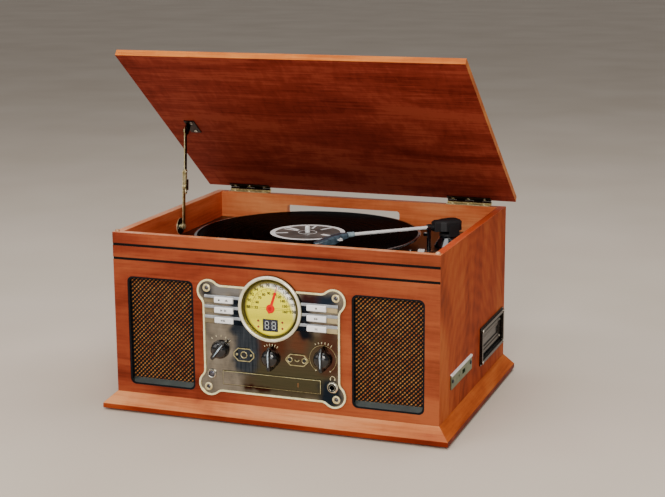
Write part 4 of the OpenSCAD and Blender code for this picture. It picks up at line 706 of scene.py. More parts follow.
def rod(r, p, q, bm=None, steps=20, ease=0.0):
    """Round bar from p to q."""
    bm = bm or bmesh.new()
    p, q = Vector(p), Vector(q)
    turn = (q - p).to_track_quat("Z", "Y").to_matrix().to_4x4()
    made = bmesh.ops.create_cone(bm, cap_ends=True, segments=steps, radius1=r, radius2=r,
                                 depth=(q - p).length,
                                 matrix=Matrix.Translation((p + q) / 2) @ turn)["verts"]
    if ease:
        ease_edges(bm, hard_edges(edges_at(made), math.radians(50)), ease)
    return bm


def about_z(degrees, size=3):
    """Turn about Z, as a matrix with so many rows."""
    return Matrix.Rotation(math.radians(degrees), size, "Z")


def ring_points(r, n, a0=0.0, a1=360.0, cx=0.0, cy=0.0):
    """So many points of a circle, or of an arc with both its ends."""
    last = n if abs(a1 - a0) >= 360 else n - 1
    return [(cx + r * math.cos(math.radians(a0 + (a1 - a0) * k / last)),
             cy + r * math.sin(math.radians(a0 + (a1 - a0) * k / last))) for k in range(n)]


def rounded(w, h, r, n=5, cx=0.0, cy=0.0):
    """Rectangle with rounded corners."""
    out = []
    for sx, sy, a in ((1, 1, 0), (-1, 1, 90), (-1, -1, 180), (1, -1, 270)):
        out += ring_points(r, n, a, a + 90, cx + sx * (w / 2 - r), cy + sy * (h / 2 - r))
    return out


def band(outer, inner, z0, z1, bm=None, closed=True):
    """Flat band between two outlines with as many points each, raised from z0 to z1."""
    bm = bm or bmesh.new()
    sides = []
    for line in (outer, inner):
        verts = [bm.verts.new((x, y, z0)) for x, y in line]
        sides += [bm.edges.new(pair) for pair in zip(verts, verts[1:] + verts[:1 * closed])]
    grown = raise_faces(bm, bmesh.ops.bridge_loops(bm, edges=sides)["faces"], z1 - z0)
    faces = [f for e in sides for v in e.verts for f in v.link_faces]
    faces += [f for f in grown if isinstance(f, bmesh.types.BMFace)]
    bmesh.ops.recalc_face_normals(bm, faces=list(dict.fromkeys(faces)))
    return bm


# the cabinet
# foot of its panels, height above which they are its rim, and how close counts as touching
PANEL_FOOT, RIM_FROM, CLOSE = 3.2, 220.0, 0.2
stripes_from, stripes_to = (v[2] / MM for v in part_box("front_stripes"))


def tight(m):
    """Butt joints stay sharp, so that the veneer reads as one surface, and so do the grooves
    round the two inlaid lines."""
    return abs(m.y - IN_FRONT) < CLOSE or m.z < PANEL_FOOT or \
        stripes_from - 1 < m.z < stripes_to + 1


def front_finish(c, n):
    """Outside, inside, rim, and the strips that close the side panels' ends."""
    if n.z > 0.3 and c.z > RIM_FROM:
        return 2
    return 3 if abs(n.x) > 0.6 and abs(c.x) > HALF_W - 2 else n.y > 0.9


eased("front_panel", "cabinet", 0.8,
      [FRONT_WOOD, WALL_WOOD, RIM_TOP, SIDE_WOOD], leave=tight, second=front_finish)
# sides: outside, inside and rim; of the right one's rim only the eased edges are pale
for side, inwards in (("left", 1), ("right", -1)):
    eased(side + "_side_panel", "cabinet", 0.8,
          [SIDE_WOOD, WALL_WOOD, RIM_TOP], leave=tight,
          second=lambda c, n: 2 if n.z > 0.3 and c.z > RIM_FROM and (inwards > 0 or n.z < 0.95)
          else n.x * inwards > 0.9 or n.z > 0.5 and c.z > RIM_FROM)
eased("back_panel", "cabinet", 0.8,
      leave=lambda m: abs(abs(m.x) - IN_X) < CLOSE or m.z < PANEL_FOOT)
# moulding: lower part, and front slope and side slopes painted paler for the light
eased("base_moulding", "cabinet", 0.7, [MOULD_WOOD, SLOPE_WOOD_PAINTED_LIGHT, SIDE_SLOPE_PAINTED_LIGHT],
      second=lambda c, n: n.z > 0.3 and (1 if n.y < -0.3 else 2 if abs(n.x) > 0.3 else 0))
# lid: outside, painted lighter as highlight, and the face that looks down
eased("lid_panel", "lid", 1.3, [LID_OUTSIDE_PAINTED_HIGHLIGHT, LID_WOOD], segments=3,
      second=lambda c, n: n.z < -0.7)
# feet, and the clear stops up on the rim
eased("rubber_feet", "cabinet", 0.3, [RUBBER, BUMPER],
      second=lambda c, n: c.z > 200)
# grille frames, and the sills that look up, painted lighter as lit
eased("grille_frames", "cabinet", 0.5, [GRILLE_DARK, GRILLE_SILL_PAINTED_LIGHT],
      second=lambda c, n: n.z > 0.3)
eased("deck_plate", "cabinet", 0.3)

# hinges and lid stay: brass knuckles and edges, dark leaves and dark flat sides; the dark upper
# halves of the knuckles are painted shade under the lid
eased("hinge_fixed_leaves", "cabinet", 0.25, [KNUCKLE_BRASS, DARK_LEAF_AND_PAINTED_SHADE],
      second=lambda c, n: c.z > HINGE_Z + CLOSE)
eased("hinge_lid_leaves", "lid", 0.25, [DARK_LEAF_AND_PAINTED_SHADE, KNUCKLE_BRASS],
      second=lambda c, n: c.z < HINGE_Z - CLOSE)
eased("stay_wall_bracket", "cabinet", 0.3, [OLD_BRASS, WALL_PLATE],
      second=lambda c, n: n.x > 0.7 and c.x < 3.0 - IN_X)
eased("stay_lid_bracket", "lid", 0.3)
eased("stay_lower_arm", "stay_lower", 0.35, [KNUCKLE_BRASS, OLIVE_BRASS],
      second=lambda c, n: abs(n.x) > 0.7)
eased("stay_upper_arm", "stay_upper", 0.35, [KNUCKLE_BRASS, DARK_SIDE_BRASS],
      second=lambda c, n: abs(n.x) > 0.7)
eased("lid_screws", "lid", 0.2)

# folding stay: its lower pivot, its slope in degrees, and the face of its upper arm
STAY_Y, STAY_Z, STAY_TILT, STAY_X = 16.3, 208.0, 85.72, -197.4


def on_stay(x):
    """Frame on the straight stay: x up the arms and y across them."""
    a = math.radians(STAY_TILT)
    return place((x, STAY_Y, STAY_Z), (0, math.cos(a), math.sin(a)),
                 (0, -math.sin(a), math.cos(a)))


# raised cover strip over the knee, a dark catch on it, and a rivet in each of its round ends
half_strip = [(78.5, 1.5), (77, 2.6), (75, 3.0), (73, 2.5), (71, 2.1), (52, 2.1), (50, 2.5),
              (48, 3.0), (46, 2.6), (44.5, 1.5)]
strip = slab(half_strip + [(s, -across) for s, across in half_strip[::-1]], 0, 1.1, ease=0.5,
             segments=3)
piece("stay_knee_cover", strip, KNUCKLE_BRASS, "stay_upper", on_stay(STAY_X))
catch = brick((15, 2.6, 2.4), (57.5, -0.6, 2.3), ease=0.5)
piece("stay_knee_catch", catch, DARK_LEAF_AND_PAINTED_SHADE, "stay_upper", on_stay(STAY_X))
rivets = bmesh.new()
for s in (48, 75):
    lathe([(1.5, 1.1), (1.5, 1.3), (1.2, 1.7), (0.6, 1.95), (0, 2.0)], 20, rivets, (s, 0))
piece("stay_rivets", rivets, SCREW_STEEL, "stay_upper", on_stay(STAY_X))

# the control plate
# buttons by the tag of their body: node, side and row; their place and how far they stand out
BUTTONS = {side[0] + level[0]: (side + "_button_" + level, sx, row)
           for side, sx in (("left", -1), ("right", 1))
           for level, row in (("top", 1), ("middle", 0), ("bottom", -1))}
BUTTON_X, BUTTON_Z, BUTTON_STEP, BUTTON_OUT = 61.5, 144.3, 13.0, 5.6
# screws in the lobes, out from the plate's middle, and the reach of their packed heads
SCREW_X, SCREW_Z, HEAD_REACH = 85.7, 64.0, 5.6
# middle of the number display's window, the headphone jack, and the height of the lozenges
DISPLAY_X, DISPLAY_Z = -0.6, DIAL_Z - 21.5
JACK_X, JACK_Z, JACK_HOLE = 80.9, 58.3, 3.4
LOZENGE_Z = 89


def out_of_front(m):
    """How far a point stands out of the front panel."""
    return FRONT_Y - m.y


def lobe_head(p):
    """Heads of the four screws in the lobes, which get finer ones below."""
    return out_of_front(p) > -0.4 and abs(abs(p.x) - SCREW_X) < HEAD_REACH and \
        abs(abs(p.z - PLATE_Z) - SCREW_Z) < HEAD_REACH


eased("face_plate", "cabinet", 0.25)
# bead: eased above the plate, sharp where it sits on it
eased("face_plate_trim", "cabinet", 1.05, segments=4,
      leave=lambda m: out_of_front(m) < PLATE_T + 0.2)
# bars: tops and ends, and the front and underside, which carry a painted reflection of a dark room
eased("chrome_bars", "cabinet", 0.2, [BAR_TOP, BAR_FRONT_PAINTED_REFLECTION], merge=False,
      second=lambda c, n: n.y < -0.9 and n.z < 0.3 or n.z < -0.5)
# buttons are eased only where they stand out of the bars
for tag, (node, *_) in BUTTONS.items():
    eased(node, "button_" + tag, 1.1, segments=4,
          leave=lambda m: out_of_front(m) < 3.9)
# card: paper, and the dark window of the number display
eased("dial_card", "cabinet", 0, [DIAL_PAPER_PAINTED_GLARE_AND_SHADE, DISPLAY_WINDOW],
      second=lambda c, n: abs(c.x - DISPLAY_X) < 10.25 and abs(c.z - DISPLAY_Z) < 7.8
      and out_of_front(c) < 0.7)
# tray: front, the eased edge round it painted dull gold as a highlight, and the plastic behind
eased("cd_tray", "tray", 0.65, [PLATE_NICKEL_PAINTED_REFLECTIONS, DULL_GOLD_AND_EDGE_HIGHLIGHT, SATIN_BLACK],
      leave=lambda m: out_of_front(m) < 2.6,
      second=lambda c, n: 2 if out_of_front(c) < -0.1 else
      out_of_front(c) > 1.7 and abs(n.y) < 0.97)
# jack: its ring and the dark hole in the middle
eased("headphone_jack", "cabinet", 0.5, [CHAMPAGNE, BLUED], segments=3,
      second=lambda c, n: math.hypot(c.x - JACK_X, c.z - JACK_Z) < JACK_HOLE)
# screws: gold on the rim, blued on the input plate, bright on the flap's frame and the stay
eased("panel_screws", "cabinet", 0.2, [GOLD_SCREW, BLUED, SCREW_STEEL],
      drop=lobe_head,
      second=lambda c, n: 0 if abs(c.x) < 190 else 1 if c.x > 0 and c.y < 0 else 2)
heads = bmesh.new()
for sx in (-1, 1):
    for sz in (-1, 1):
        # raised gold washer, grey head in a recess, and a dark cross slot
        at = len(heads.verts)
        lathe([(5.2, 0), (5.2, 0.5), (4.9, 1.2), (4.2, 1.6), (3.3, 1.5), (2.8, 0.9),
               (2.6, 0.35)], 36, heads)
        before = set(heads.faces)
        lathe([(2.6, 0.35), (2.3, 0.3), (2.0, 0.7), (1.3, 1.05), (0.0, 1.15)], 24, heads)
        number_new(heads, before, 1)
        before = set(heads.faces)
        for turn in (25, 115):
            brick((2.8, 0.5, 0.5), (0, 0, 1.0), heads, turn=about_z(turn))
        number_new(heads, before, 2)
        heads.verts.ensure_lookup_table()
        bmesh.ops.transform(heads, matrix=on_front(sx * SCREW_X, PLATE_Z + sz * SCREW_Z, PLATE_T),
                            verts=heads.verts[at:])
piece("lobe_screw_heads", heads, [GOLD_SCREW, GREY_HEAD, SATIN_BLACK], "cabinet")

# plain marks printed on the buttons: stop, eject, play, pause, skip and record
def block(x0, y0, x1, y1):
    return [(x0, y0), (x1, y0), (x1, y1), (x0, y1)]


def arrow(foot, tip):
    half = 1.4 if tip > foot else -1.4
    return [(tip, 0), (foot, half), (foot, -half)]


SYMBOLS = {
    "lt": [block(-7, -1.1, -4.8, 1.1), block(2.2, -1.2, 6.2, -0.6),
           [(2.2, -0.2), (6.2, -0.2), (4.2, 1.5)]],
    "lm": [arrow(-4, -1.2), block(1, -1.4, 1.9, 1.4), block(2.8, -1.4, 3.7, 1.4)],
    "lb": [arrow(-1.8, -4.2), arrow(0.6, -1.8), block(1.2, -1.4, 1.9, 1.4)],
    "rt": [ring_points(1.3, 16)],
    "rm": [arrow(-2.4, 0), arrow(0, 2.4)],
    "rb": [block(-2, -1.1, 2, -0.4), block(-2, 0.3, 2, 1.0)],
}
for tag, (_, sx, row) in BUTTONS.items():
    symbol = bmesh.new()
    for shape in SYMBOLS[tag]:
        slab(shape, 0, 0.07, symbol)
    piece("button_symbol_" + tag, symbol, INK, "button_" + tag,
          on_front(sx * BUTTON_X, BUTTON_Z + row * BUTTON_STEP, BUTTON_OUT))

# dial: bezel with a polished ring, and painted olive shade on the lip inside it and round its foot
bezel = lathe([(34.8, 0), (34.8, 3.4), (36.3, 3.8), (37.1, 4.6), (37.5, 4.8), (37.6, 4.4)] +
              ring_points(2.15, 14, 175, 0, 39.75, 4.3) + [(41.9, 0), (34.8, 0)], 96)
number_faces(bezel, lambda c, n: c.xy.length < 37.55 or c.xy.length > 41.6 and c.z < 3)
piece("dial_bezel_ring", bezel, [BEZEL_GOLD, OLIVE_PAINTED_SHADE], "cabinet",
      on_front(0, DIAL_Z), ("dial_bezel",), smooth=50)


def lettering(text, size, at, bm):
    """Plain numbers as flat raised print, each stroke widened so that it shows."""
    curve = bpy.data.curves.new("numbers", "FONT")
    curve.body, curve.size, curve.align_x, curve.align_y = text, size, "CENTER", "CENTER"
    curve.resolution_u, curve.offset = 3, 0.2
    obj = put("numbers", curve)
    mesh = bpy.data.meshes.new_from_object(obj.evaluated_get(
        bpy.context.evaluated_depsgraph_get()))
    bpy.data.objects.remove(obj)
    bpy.data.curves.remove(curve)
    glyphs = bmesh.new()
    glyphs.from_mesh(mesh)
    bpy.data.meshes.remove(mesh)
    bmesh.ops.remove_doubles(glyphs, verts=glyphs.verts, dist=1e-5)
    raise_faces(glyphs, glyphs.faces[:], 0.07)
    glyphs.transform(Matrix.Translation((*at, 0)))
    copy = bpy.data.meshes.new("glyphs")
    glyphs.to_mesh(copy)
    glyphs.free()
    bm.from_mesh(copy)
    bpy.data.meshes.remove(copy)


# numbers of the two bands: their size, half width and half height of their arc, and its span
ON_CARD = on_front(0, DIAL_Z, 1.0)
numbers = bmesh.new()
for size, wide, high, span, row in (
        (5.4, 29.4, 29.6, 184, (88, 90, 92, 94, 96, 98, 100, 102, 104, 106, 107, 108)),
        (4.6, 19.0, 19.2, 188, (53, 60, 70, 80, 90, 100, 120, 140, 150, 160))):
    for k, number in enumerate(row):
        a = math.radians(180 - k * span / (len(row) - 1))
        lettering(str(number), size, (wide * math.cos(a), high * math.sin(a)), numbers)
piece("dial_numbers", numbers, INK, "cabinet", ON_CARD, fix=False)

# two arcs with 61 ticks under the outer one, every fifth long, and two lines below
lines = bmesh.new()
for r in (25.6, 22.6):
    band(ring_points(r, 72, 184, -8), ring_points(r - 0.22, 72, 184, -8), 0, 0.05, lines,
         closed=False)
for k in range(61):
    long, wide = (1.5, 0.32) if k % 5 else (2.6, 0.6)
    turn = about_z(180 - k * 184 / 60)
    brick((long, wide, 0.06), turn @ Vector((25.4 - long / 2, 0, 0.04)), lines, turn=turn)
for y in (0.7, -1.4):
    brick((62, 0.26, 0.05), (0, y, 0.04), lines)
piece("dial_scale_lines", lines, FAINT_INK, "cabinet", ON_CARD, fix=False)

# four small lenses beside the display
dots = bmesh.new()
for dx in (-16, 16):
    for dz in (5.0, -2.7):
        lathe([(1.45, 0), (1.45, 0.15), (0.9, 0.32), (0, 0.38)], 16, dots,
              (DISPLAY_X + dx, DISPLAY_Z - DIAL_Z + dz))
piece("dial_indicator_dots", dots, MAROON_LENS, "cabinet", ON_CARD)

# two figures of seven bars each, all lit
digits = bmesh.new()
for x in (-4.7, 4.4):
    for y in (4.7, 0, -4.7):
        brick((3.6, 0.85, 0.12), (x, y, 0.06), digits, ease=0.04)
    for sx in (-1, 1):
        for sy in (-1, 1):
            brick((0.85, 3.4, 0.12), (x + sx * 2.25, sy * 2.35, 0.06), digits, ease=0.04)
piece("display_digits", digits, DIGIT_WHITE, "cabinet",
      on_front(DISPLAY_X, DISPLAY_Z, 0.6), fix=False)

# pointer: blade with a tail, a narrow tip painted pale as glare, and a hub with a deeper red middle
needle = slab([(-1.7, 0), (-1.4, 22.0), (1.4, 22.0), (1.7, 0)], 1.75, 2.35, ease=0.15)
slab([(-2.6, -4.0), (2.6, -4.0), (0, -7.2)], 1.75, 2.35, needle, ease=0.15)
before = set(needle.faces)
slab([(-0.85, 22.0), (-0.5, 29.6), (0.5, 29.6), (0.85, 22.0)], 1.75, 2.3, needle, ease=0.1)
number_new(needle, before, 2)
lathe([(0, 1.5), (5.5, 1.5), (5.5, 2.2), (5.1, 2.7), (4.2, 2.88), (2.2, 2.9), (1.9, 2.6),
       (0, 2.6)], 40, needle)
for face in needle.faces:
    middle = face.calc_center_median()
    if middle.z > 2.5 and middle.xy.length < 2.2:
        face.material_index = 1
piece("pointer_needle", needle, [RED_PAINTED_GLOW, RED_HUB, TIP_PAINTED_GLARE], "pointer",
      on_front(0, DIAL_Z) @ about_z(-17.8, 4), ("tuning_pointer",), fix=False)


# knobs, as places on the front
SELECTOR, TUNING, VOLUME = (-68.5, 93), (0, 88), (68.5, 93)


def knob(name, body, spot, turn):
    """Flanged body with a domed crown, a tall tapered grip bar and a painted highlight along it."""
    here = on_front(*spot, PLATE_T + 0.4) @ about_z(-turn, 4)
    crown = lathe([(3, -6), (3, 0), (11.2, 0), (11.75, 0.5), (11.75, 2.0), (11.3, 2.6),
                   (11.1, 4.4), (10.5, 6.4), (9.2, 8.2), (7.2, 9.5), (4.6, 10.3), (2.0, 10.6),
                   (0, 10.6)], 56)
    piece(name + "_crown", crown, KNOB_BLACK, body, here, (name + "_knob",),
          smooth=45)
    grip = slab([(-2.7, -11), (-2.2, -14.6), (-0.9, -15.8), (0.9, -15.8), (2.2, -14.6),
                 (2.7, -11), (2.8, 0), (2.4, 10), (1.7, 14.6), (0.6, 15.9), (-0.6, 15.9),
                 (-1.7, 14.6), (-2.4, 10), (-2.8, 0)], 1.3, 12.3, ease=1.9, segments=4)
    # painted highlight along the crest of the grip
    shine = slab([(0.3, -9), (0.8, -9), (1.2, -4), (1.4, 1), (1.3, 6), (0.9, 11.5),
                  (0.1, 11.5), (-0.5, 6), (-0.4, 1), (0.0, -4)], 12.1, 12.4, ease=0.12)
    # the grip's upper side falls towards both its ends
    for v in grip.verts[:] + shine.verts[:]:
        if v.co.z > 8:
            v.co.z -= max(abs(v.co.y) - 6.5, 0) ** 2 * 0.055
    piece(name + "_grip", grip, KNOB_BLACK, body, here)
    piece(name + "_grip_painted_highlight", shine, GRIP_PAINTED_HIGHLIGHT, body, here)


knob("selector", "selector", SELECTOR, 38)
knob("tuning", "tuner", TUNING, 0)
knob("volume", "volume", VOLUME, 0)

# scale marks round the knobs: an arc with two end dots at the volume, and printed ticks
marks = bmesh.new()
vx, vz = VOLUME[0], VOLUME[1] - PLATE_Z
band(ring_points(17.6, 60, 238, -58, vx, vz), ring_points(17.25, 60, 238, -58, vx, vz), 0, 0.06,
     marks, closed=False)
number_new(marks, set(), 1)
for a in (math.radians(238), math.radians(-58)):
    slab(ring_points(0.8, 12, cx=vx + 17.4 * math.cos(a), cy=vz + 17.4 * math.sin(a)), 0, 0.08,
         marks)
for (x, z), r, angles in ((VOLUME, 20.6, range(118, 57, -12)), (TUNING, 17, range(120, 59, -12)),
                          (SELECTOR, 17.5, range(130, 41, -22))):
    for k, a in enumerate(angles):
        turn = about_z(a)
        brick((2.0 + 0.25 * k, 0.7, 0.06),
              turn @ Vector((r, 0, 0)) + Vector((x, z - PLATE_Z, 0.03)), marks, turn=turn)
piece("knob_scale_marks", marks, [CREAM_INK, DULL_GOLD_AND_EDGE_HIGHLIGHT], "cabinet",
      on_front(0, PLATE_Z, PLATE_T), fix=False)


# small lozenge plates: dull gold outline, plate-coloured floor, rivets, rings and dark holes
def lozenge(w, h, cut):
    """Rectangle with its corners cut off."""
    x, y = w / 2, h / 2
    return [(x, cut - y), (x, y - cut), (x - cut, y), (cut - x, y),
            (-x, y - cut), (-x, cut - y), (cut - x, -y), (x - cut, -y)]


eased("indicator_plates", "cabinet", 0.25, [PLATE_NICKEL_PAINTED_REFLECTIONS, BLUED],
      second=lambda c, n: out_of_front(c) > PLATE_T + 1.25 and c.x < -25,
      drop=lambda p: p.x < -70)
# outlines, then two rivets and a ring on the left plate, two rings and an arc on the right one
outlines = bmesh.new()
for x, w, h in ((-36, 28, 17), (35, 30, 15)):
    base = len(outlines.verts)
    band(lozenge(w, h, 6), lozenge(w - 2.2, h - 2.2, 5.4), 0, 0.55, outlines)
    outlines.verts.ensure_lookup_table()
    bmesh.ops.translate(outlines, verts=outlines.verts[base:], vec=(x, 0, 0))
for x in (-45.6, -26.4):
    lathe([(1.6, 0), (1.5, 0.5), (0.9, 0.85), (0, 0.95)], 16, outlines, (x, 0))
for x, r in ((-36, 4.5), (25.5, 3.5), (44.5, 3.5)):
    lathe([(r, 0), (r, 0.5), (r - 0.5, 0.8), (r - 1.0, 0.5), (r - 1.0, 0)], 28, outlines, (x, 0))
band(ring_points(3.6, 12, 200, 340, 35, 1.6), ring_points(2.5, 12, 200, 340, 35, 1.6), 0, 0.6,
     outlines, closed=False)
piece("lozenge_outlines", outlines, DULL_GOLD_AND_EDGE_HIGHLIGHT, "cabinet",
      on_front(0, LOZENGE_Z, PLATE_T + 1.15), fix=False)
holes = bmesh.new()
for x, r in ((-36, 3.4), (25.5, 2.5), (44.5, 2.5)):
    lathe([(r, 0), (r, 0.25), (r * 0.6, 0.1), (0, 0.06)], 28, holes, (x, 0))
piece("lozenge_holes", holes, SATIN_BLACK, "cabinet",
      on_front(0, LOZENGE_Z, PLATE_T + 1.2), fix=False)

# lamp with its ring, phones symbol over the jack, and the disc tray's amber window
lamp_ring = lathe([(6, 0), (6, 1.4), (5.4, 2.1), (4.6, 2.2), (4, 1.7), (4, 0)], 32)
before = set(lamp_ring.faces)
lathe([(4.0, 0.7), (3.4, 1.25), (2.0, 1.7), (0, 1.9)], 24, lamp_ring)
number_new(lamp_ring, before, 1)
piece("lamp_ring", lamp_ring, [SCREW_STEEL, GREY_HEAD], "cabinet",
      on_front(-80.7, 60.3, PLATE_T), fix=False)
phones = band(ring_points(3.2, 18, 180, 0), ring_points(2.6, 18, 180, 0), 0, 0.07, closed=False)
for sx in (-1, 1):
    brick((1.4, 2.6, 0.07), (sx * 2.9, -0.8, 0.035), phones)
piece("phones_symbol", phones, CREAM_INK, "cabinet", on_front(JACK_X, 69.5, PLATE_T),
      fix=False)
window = slab(rounded(1.9, 5.6, 0.6, cx=36), 0, 0.3, ease=0.2)
piece("tray_amber_window", window, AMBER_LENS, "tray", on_front(0, 57, 2.8))

# record: plain rings and bars printed on its label, then the disc with its label and rim
on_record = on_level(*PLATTER, RECORD_TOP)
label = bmesh.new()
band(ring_points(49.8, 72), ring_points(43.4, 72), 0, 0.05, label)
band(ring_points(12.5, 40), ring_points(11.6, 40), 0, 0.05, label)
for a, r0, r1, w in ((150, 20, 45, 5), (163, 16, 40, 3.2), (205, 26, 44, 4), (-18, 24, 44, 6),
                     (62, 24, 42, 4), (96, 24, 42, 3)):
    turn = about_z(a)
    brick((r1 - r0, w, 0.05), turn @ Vector(((r0 + r1) / 2, 0, 0.025)), label, turn=turn)
piece("label_print", label, LABEL_WHITE_PAINTED_GLOW, "turntable", on_record, fix=False)
disc = lathe([(3.6, -2), (150.0, -2), (150.5, -1.85), (150.8, -1.5), (150.8, -0.9), (150.5, -0.35),
              (149.9, -0.1), (146.8, -0.1), (145.8, -0.4), (59, -0.4), (58, -0.2), (50.5, -0.2),
              (50, 0), (46, 0), (3.6, 0), (3.6, -2)], 160)
number_faces(disc, lambda c, n: 2 if c.xy.length > 147.5 else
             c.z > -0.02 and c.xy.length < 49.5)
piece("record_disc", disc, [VINYL, LABEL_GREY, VINYL_RIM], "turntable", on_record,
      ("record",), smooth=24)
eased("platter", "turntable", 0.4)
eased("spindle", "turntable", 0.3, PALE_CHROME_PAINTED_SHINE)

# tonearm: first axis from its pivot along the tube
HOUSING_LOW, HOUSING_HIGH = 218.05, 232.55
arm = on_level(*ARM, 0, ARM_DIR)
tube = rod(2.3, (20, 0, ARM_Z), (TUBE_END, 0, ARM_Z), steps=28)
piece("arm_tube_chrome", tube, PALE_CHROME_PAINTED_SHINE, "tonearm", arm, fix=False)
housing = slab([(-14, -7.2), (-14, 7.2), (-10.5, 11), (10, 11), (16, 6.4), (24, 6),
                (24, -6), (16, -6.4), (10, -11), (-10.5, -11)][::-1],
               HOUSING_LOW, HOUSING_HIGH, ease=2.6, segments=1)
ease_edges(housing, hard_edges(housing.edges), 0.35)
rod(3.5, (19, 0, ARM_Z), (27, 0, ARM_Z), housing, ease=0.4)
rod(4.4, (27, 0, ARM_Z), (33, 0, ARM_Z), housing, ease=0.8)
brick((9, 15, 1.0), (-2, 0, HOUSING_HIGH), housing, ease=0.3)
piece("arm_rear_housing", housing, SOFT_BLACK, "tonearm", arm, ("arm_tube",),
      fix=False)
screws = bmesh.new()
for side in (-1, 1):
    rod(2.4, (1.5, side * 11.0, ARM_Z - 0.4), (1.5, side * 11.7, ARM_Z - 0.4), screws, ease=0.2)
rod(2.0, (-14.0, 3, ARM_Z + 1.4), (-14.6, 3, ARM_Z + 1.4), screws, ease=0.2)
piece("arm_housing_screws", screws, SCREW_STEEL, "tonearm", arm, fix=False)

# head shell: wedge that narrows to a nose, with collar, cartridge, stylus and finger lift
# sections from the collar to the nose: distance from the pivot, half width and height
shell = bmesh.new()
top = [(146, 4.2, 226.4), (154, 7.6, 226.8), (170, 8.0, 223.8), (184, 6.6, 220.2),
       (192, 3.4, 218.0)]
low = [(146, 4.2, 220.4), (156, 7.6, 218.8), (166, 8.0, 214.4), (184, 6.6, 214.2),
       (192, 3.4, 214.2)]
loops = []
for (xt, wt, zt), (xl, wl, zl) in zip(top, low):
    ring = [shell.verts.new(v) for v in ((xt, wt * 0.62, zt), (xt, wt, zt - 1.8), (xl, wl, zl),
                                         (xl, -wl, zl), (xt, -wt, zt - 1.8), (xt, -wt * 0.62, zt))]
    loops.append([shell.edges.new((ring[k], ring[(k + 1) % 6])) for k in range(6)])
for one, two in zip(loops, loops[1:]):
    bmesh.ops.bridge_loops(shell, edges=one + two)
bmesh.ops.holes_fill(shell, edges=shell.edges[:], sides=6)
bmesh.ops.recalc_face_normals(shell, faces=shell.faces)
ease_edges(shell, hard_edges(shell.edges), 0.5)
rod(3.4, (137, 0, ARM_Z), (146.6, 0, ARM_Z), shell, ease=0.5)
number_faces(shell, lambda c, n: c.x < 146.7)
piece("head_shell_wedge", shell, [SLATE, COLLAR_BLUE], "tonearm", arm,
      ("head_shell",), fix=False)
lift = slab([(158, 7), (163, 7), (163.6, 10), (162.4, 14), (158.6, 14), (158.4, 10)],
            219.8, 221.0, ease=0.3)
rod(1.3, (159.4, 13.4, 221.2), (161.8, 13.4, 223.0), lift, ease=0.3)
piece("head_finger_lift", lift, PALE_CHROME_PAINTED_SHINE, "tonearm", arm, fix=False)
stylus = brick((9, 7, 2.2), (184.5, 0, 214.0), ease=0.4)
rod(0.5, (185, 0, 213.1), (185, 0, 212.9), stylus)
piece("stylus_holder", stylus, COLLAR_BLUE, "tonearm", arm, fix=False)

eased("arm_gimbal", "gimbal", 0.5, SOFT_BLACK)
eased("tonearm_base", "cabinet", 0.4, KNOB_BLACK)
clip = brick((8.4, 5, 3.6), (141.4, 13.4, 198.2), ease=0.6)
piece("rest_spring_clip", clip, PALE_CHROME_PAINTED_SHINE, "cabinet", Matrix.Scale(MM, 4),
      fix=False)
eased("cue_lever", "cue", 0.3)
eased("speed_lever", "speed", 0.4)

# the right side
eased("cassette_bezel", "cabinet", 0.5, leave=lambda m: m.x < HALF_W + 0.3)
eased("cassette_flap", "flap", 0.3, BROWN_BLACK)
# stepped frame glued on the flap, which lies a little back in its bezel
FLAP_OUT = -1.35
trim = band(rounded(100, 28, 1.5), rounded(90, 19, 1.0), 0, 1.2)
ease_edges(trim, hard_edges(trim.edges, 0.9), 0.35)
band(rounded(88, 17, 1.0), rounded(80, 11, 1.0), 0, 0.6, trim)
piece("flap_step_frame", trim, BRONZE, "flap", on_right(*CASSETTE, FLAP_OUT),
      fix=False)
pins = bmesh.new()
for sx in (-1, 1):
    for sy in (-1, 1):
        lathe([(1.7, 0), (1.7, 0.4), (1.2, 0.85), (0, 1.0)], 20, pins, (sx * 47.5, sy * 11.8))
piece("flap_frame_pins", pins, SCREW_STEEL, "flap",
      on_right(*CASSETTE, FLAP_OUT + 1.1), fix=False)
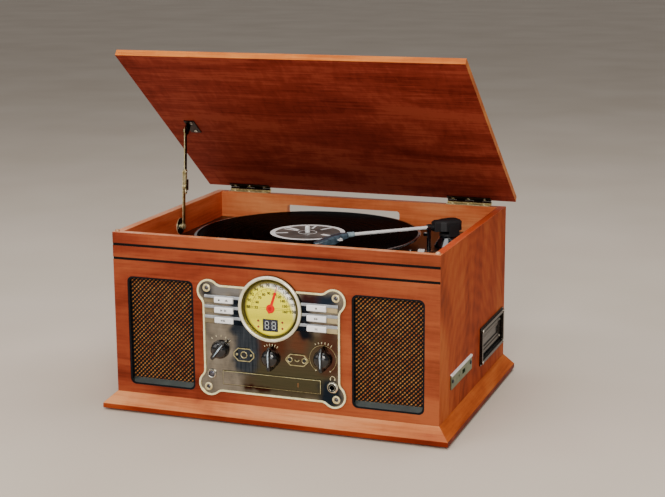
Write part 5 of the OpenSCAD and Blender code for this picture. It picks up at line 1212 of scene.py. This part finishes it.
# socket plates, with the upper border of the input plate in silver
eased("socket_plates", "cabinet", 0.25, [GREEN_SILVER, SILVER_PAINT],
      second=lambda c, n: c.x > HALF_W and (n.z > 0.3 or c.z > INPUT[1] + 8) and
      c.z > INPUT[1] + 5)

# bright lip folded outwards along the upper edge of the input plate
lip = brick((96.5, 2.8, 1.0), (0, 8.2, 2.1), ease=0.4)
piece("input_plate_lip", lip, SILVER_PAINT, "cabinet", on_right(*INPUT),
      fix=False)

# the studio: pale backdrop paper, rolled and matt, with a slow drift over 400 mm
paper, tree, shader = start("pale_paper_floor", Roughness=0.85)
feed(tree, shader, {"Base Color": add(tree, "ValToRGB", {"Fac": speckle(tree, 400)},
                                      [(0.3, "#C6B8A8"), (0.7, "#D0C3B4")])})
sheet = bmesh.new()
bmesh.ops.create_grid(sheet, x_segments=8, y_segments=8, size=30)
floor = put("studio_floor", bpy.data.meshes.new("studio_floor"))
sheet.to_mesh(floor.data)
sheet.free()
floor.data.materials.append(paper)

world = bpy.data.worlds.new("soft_room")
bpy.context.scene.world = world
world.use_nodes = True
sky = world.node_tree.nodes["Background"]
sky.inputs["Color"].default_value = tone("#DEDCDA")
sky.inputs["Strength"].default_value = 0.42


def lamp(name, at, to, size, power, colour="#FFFFFF", height=None):
    """Softbox, square unless its height is given; places in metres and power in watts."""
    light = bpy.data.lights.new(name, "AREA")
    light.shape, light.size, light.energy = "RECTANGLE", size, power
    light.size_y = height or size
    light.color = tone(colour)[:3]
    obj = put(name, light)
    obj.location = at
    obj.rotation_mode = "QUATERNION"
    obj.rotation_quaternion = (Vector(to) - Vector(at)).to_track_quat("-Z", "Y")


lamp("key_softbox", (0.75, -2.2, 1.3), (0, 0, 0.18), 1.1, 46, "#FFF6EA")
lamp("low_front_fill", (0.3, -2.6, 0.35), (0, 0, 0.25), 0.9, 7)
lamp("left_fill", (-1.6, -1.5, 1.2), (0, 0, 0.18), 1.4, 12, "#FFF8F0")
lamp("top_softbox", (0.2, 0.3, 2.2), (0, 0, 0.2), 1.6, 32)
lamp("shine_strip", (-0.35, -1.0, 1.55), (0, -0.16, 0.1), 1.3, 7, height=0.3)
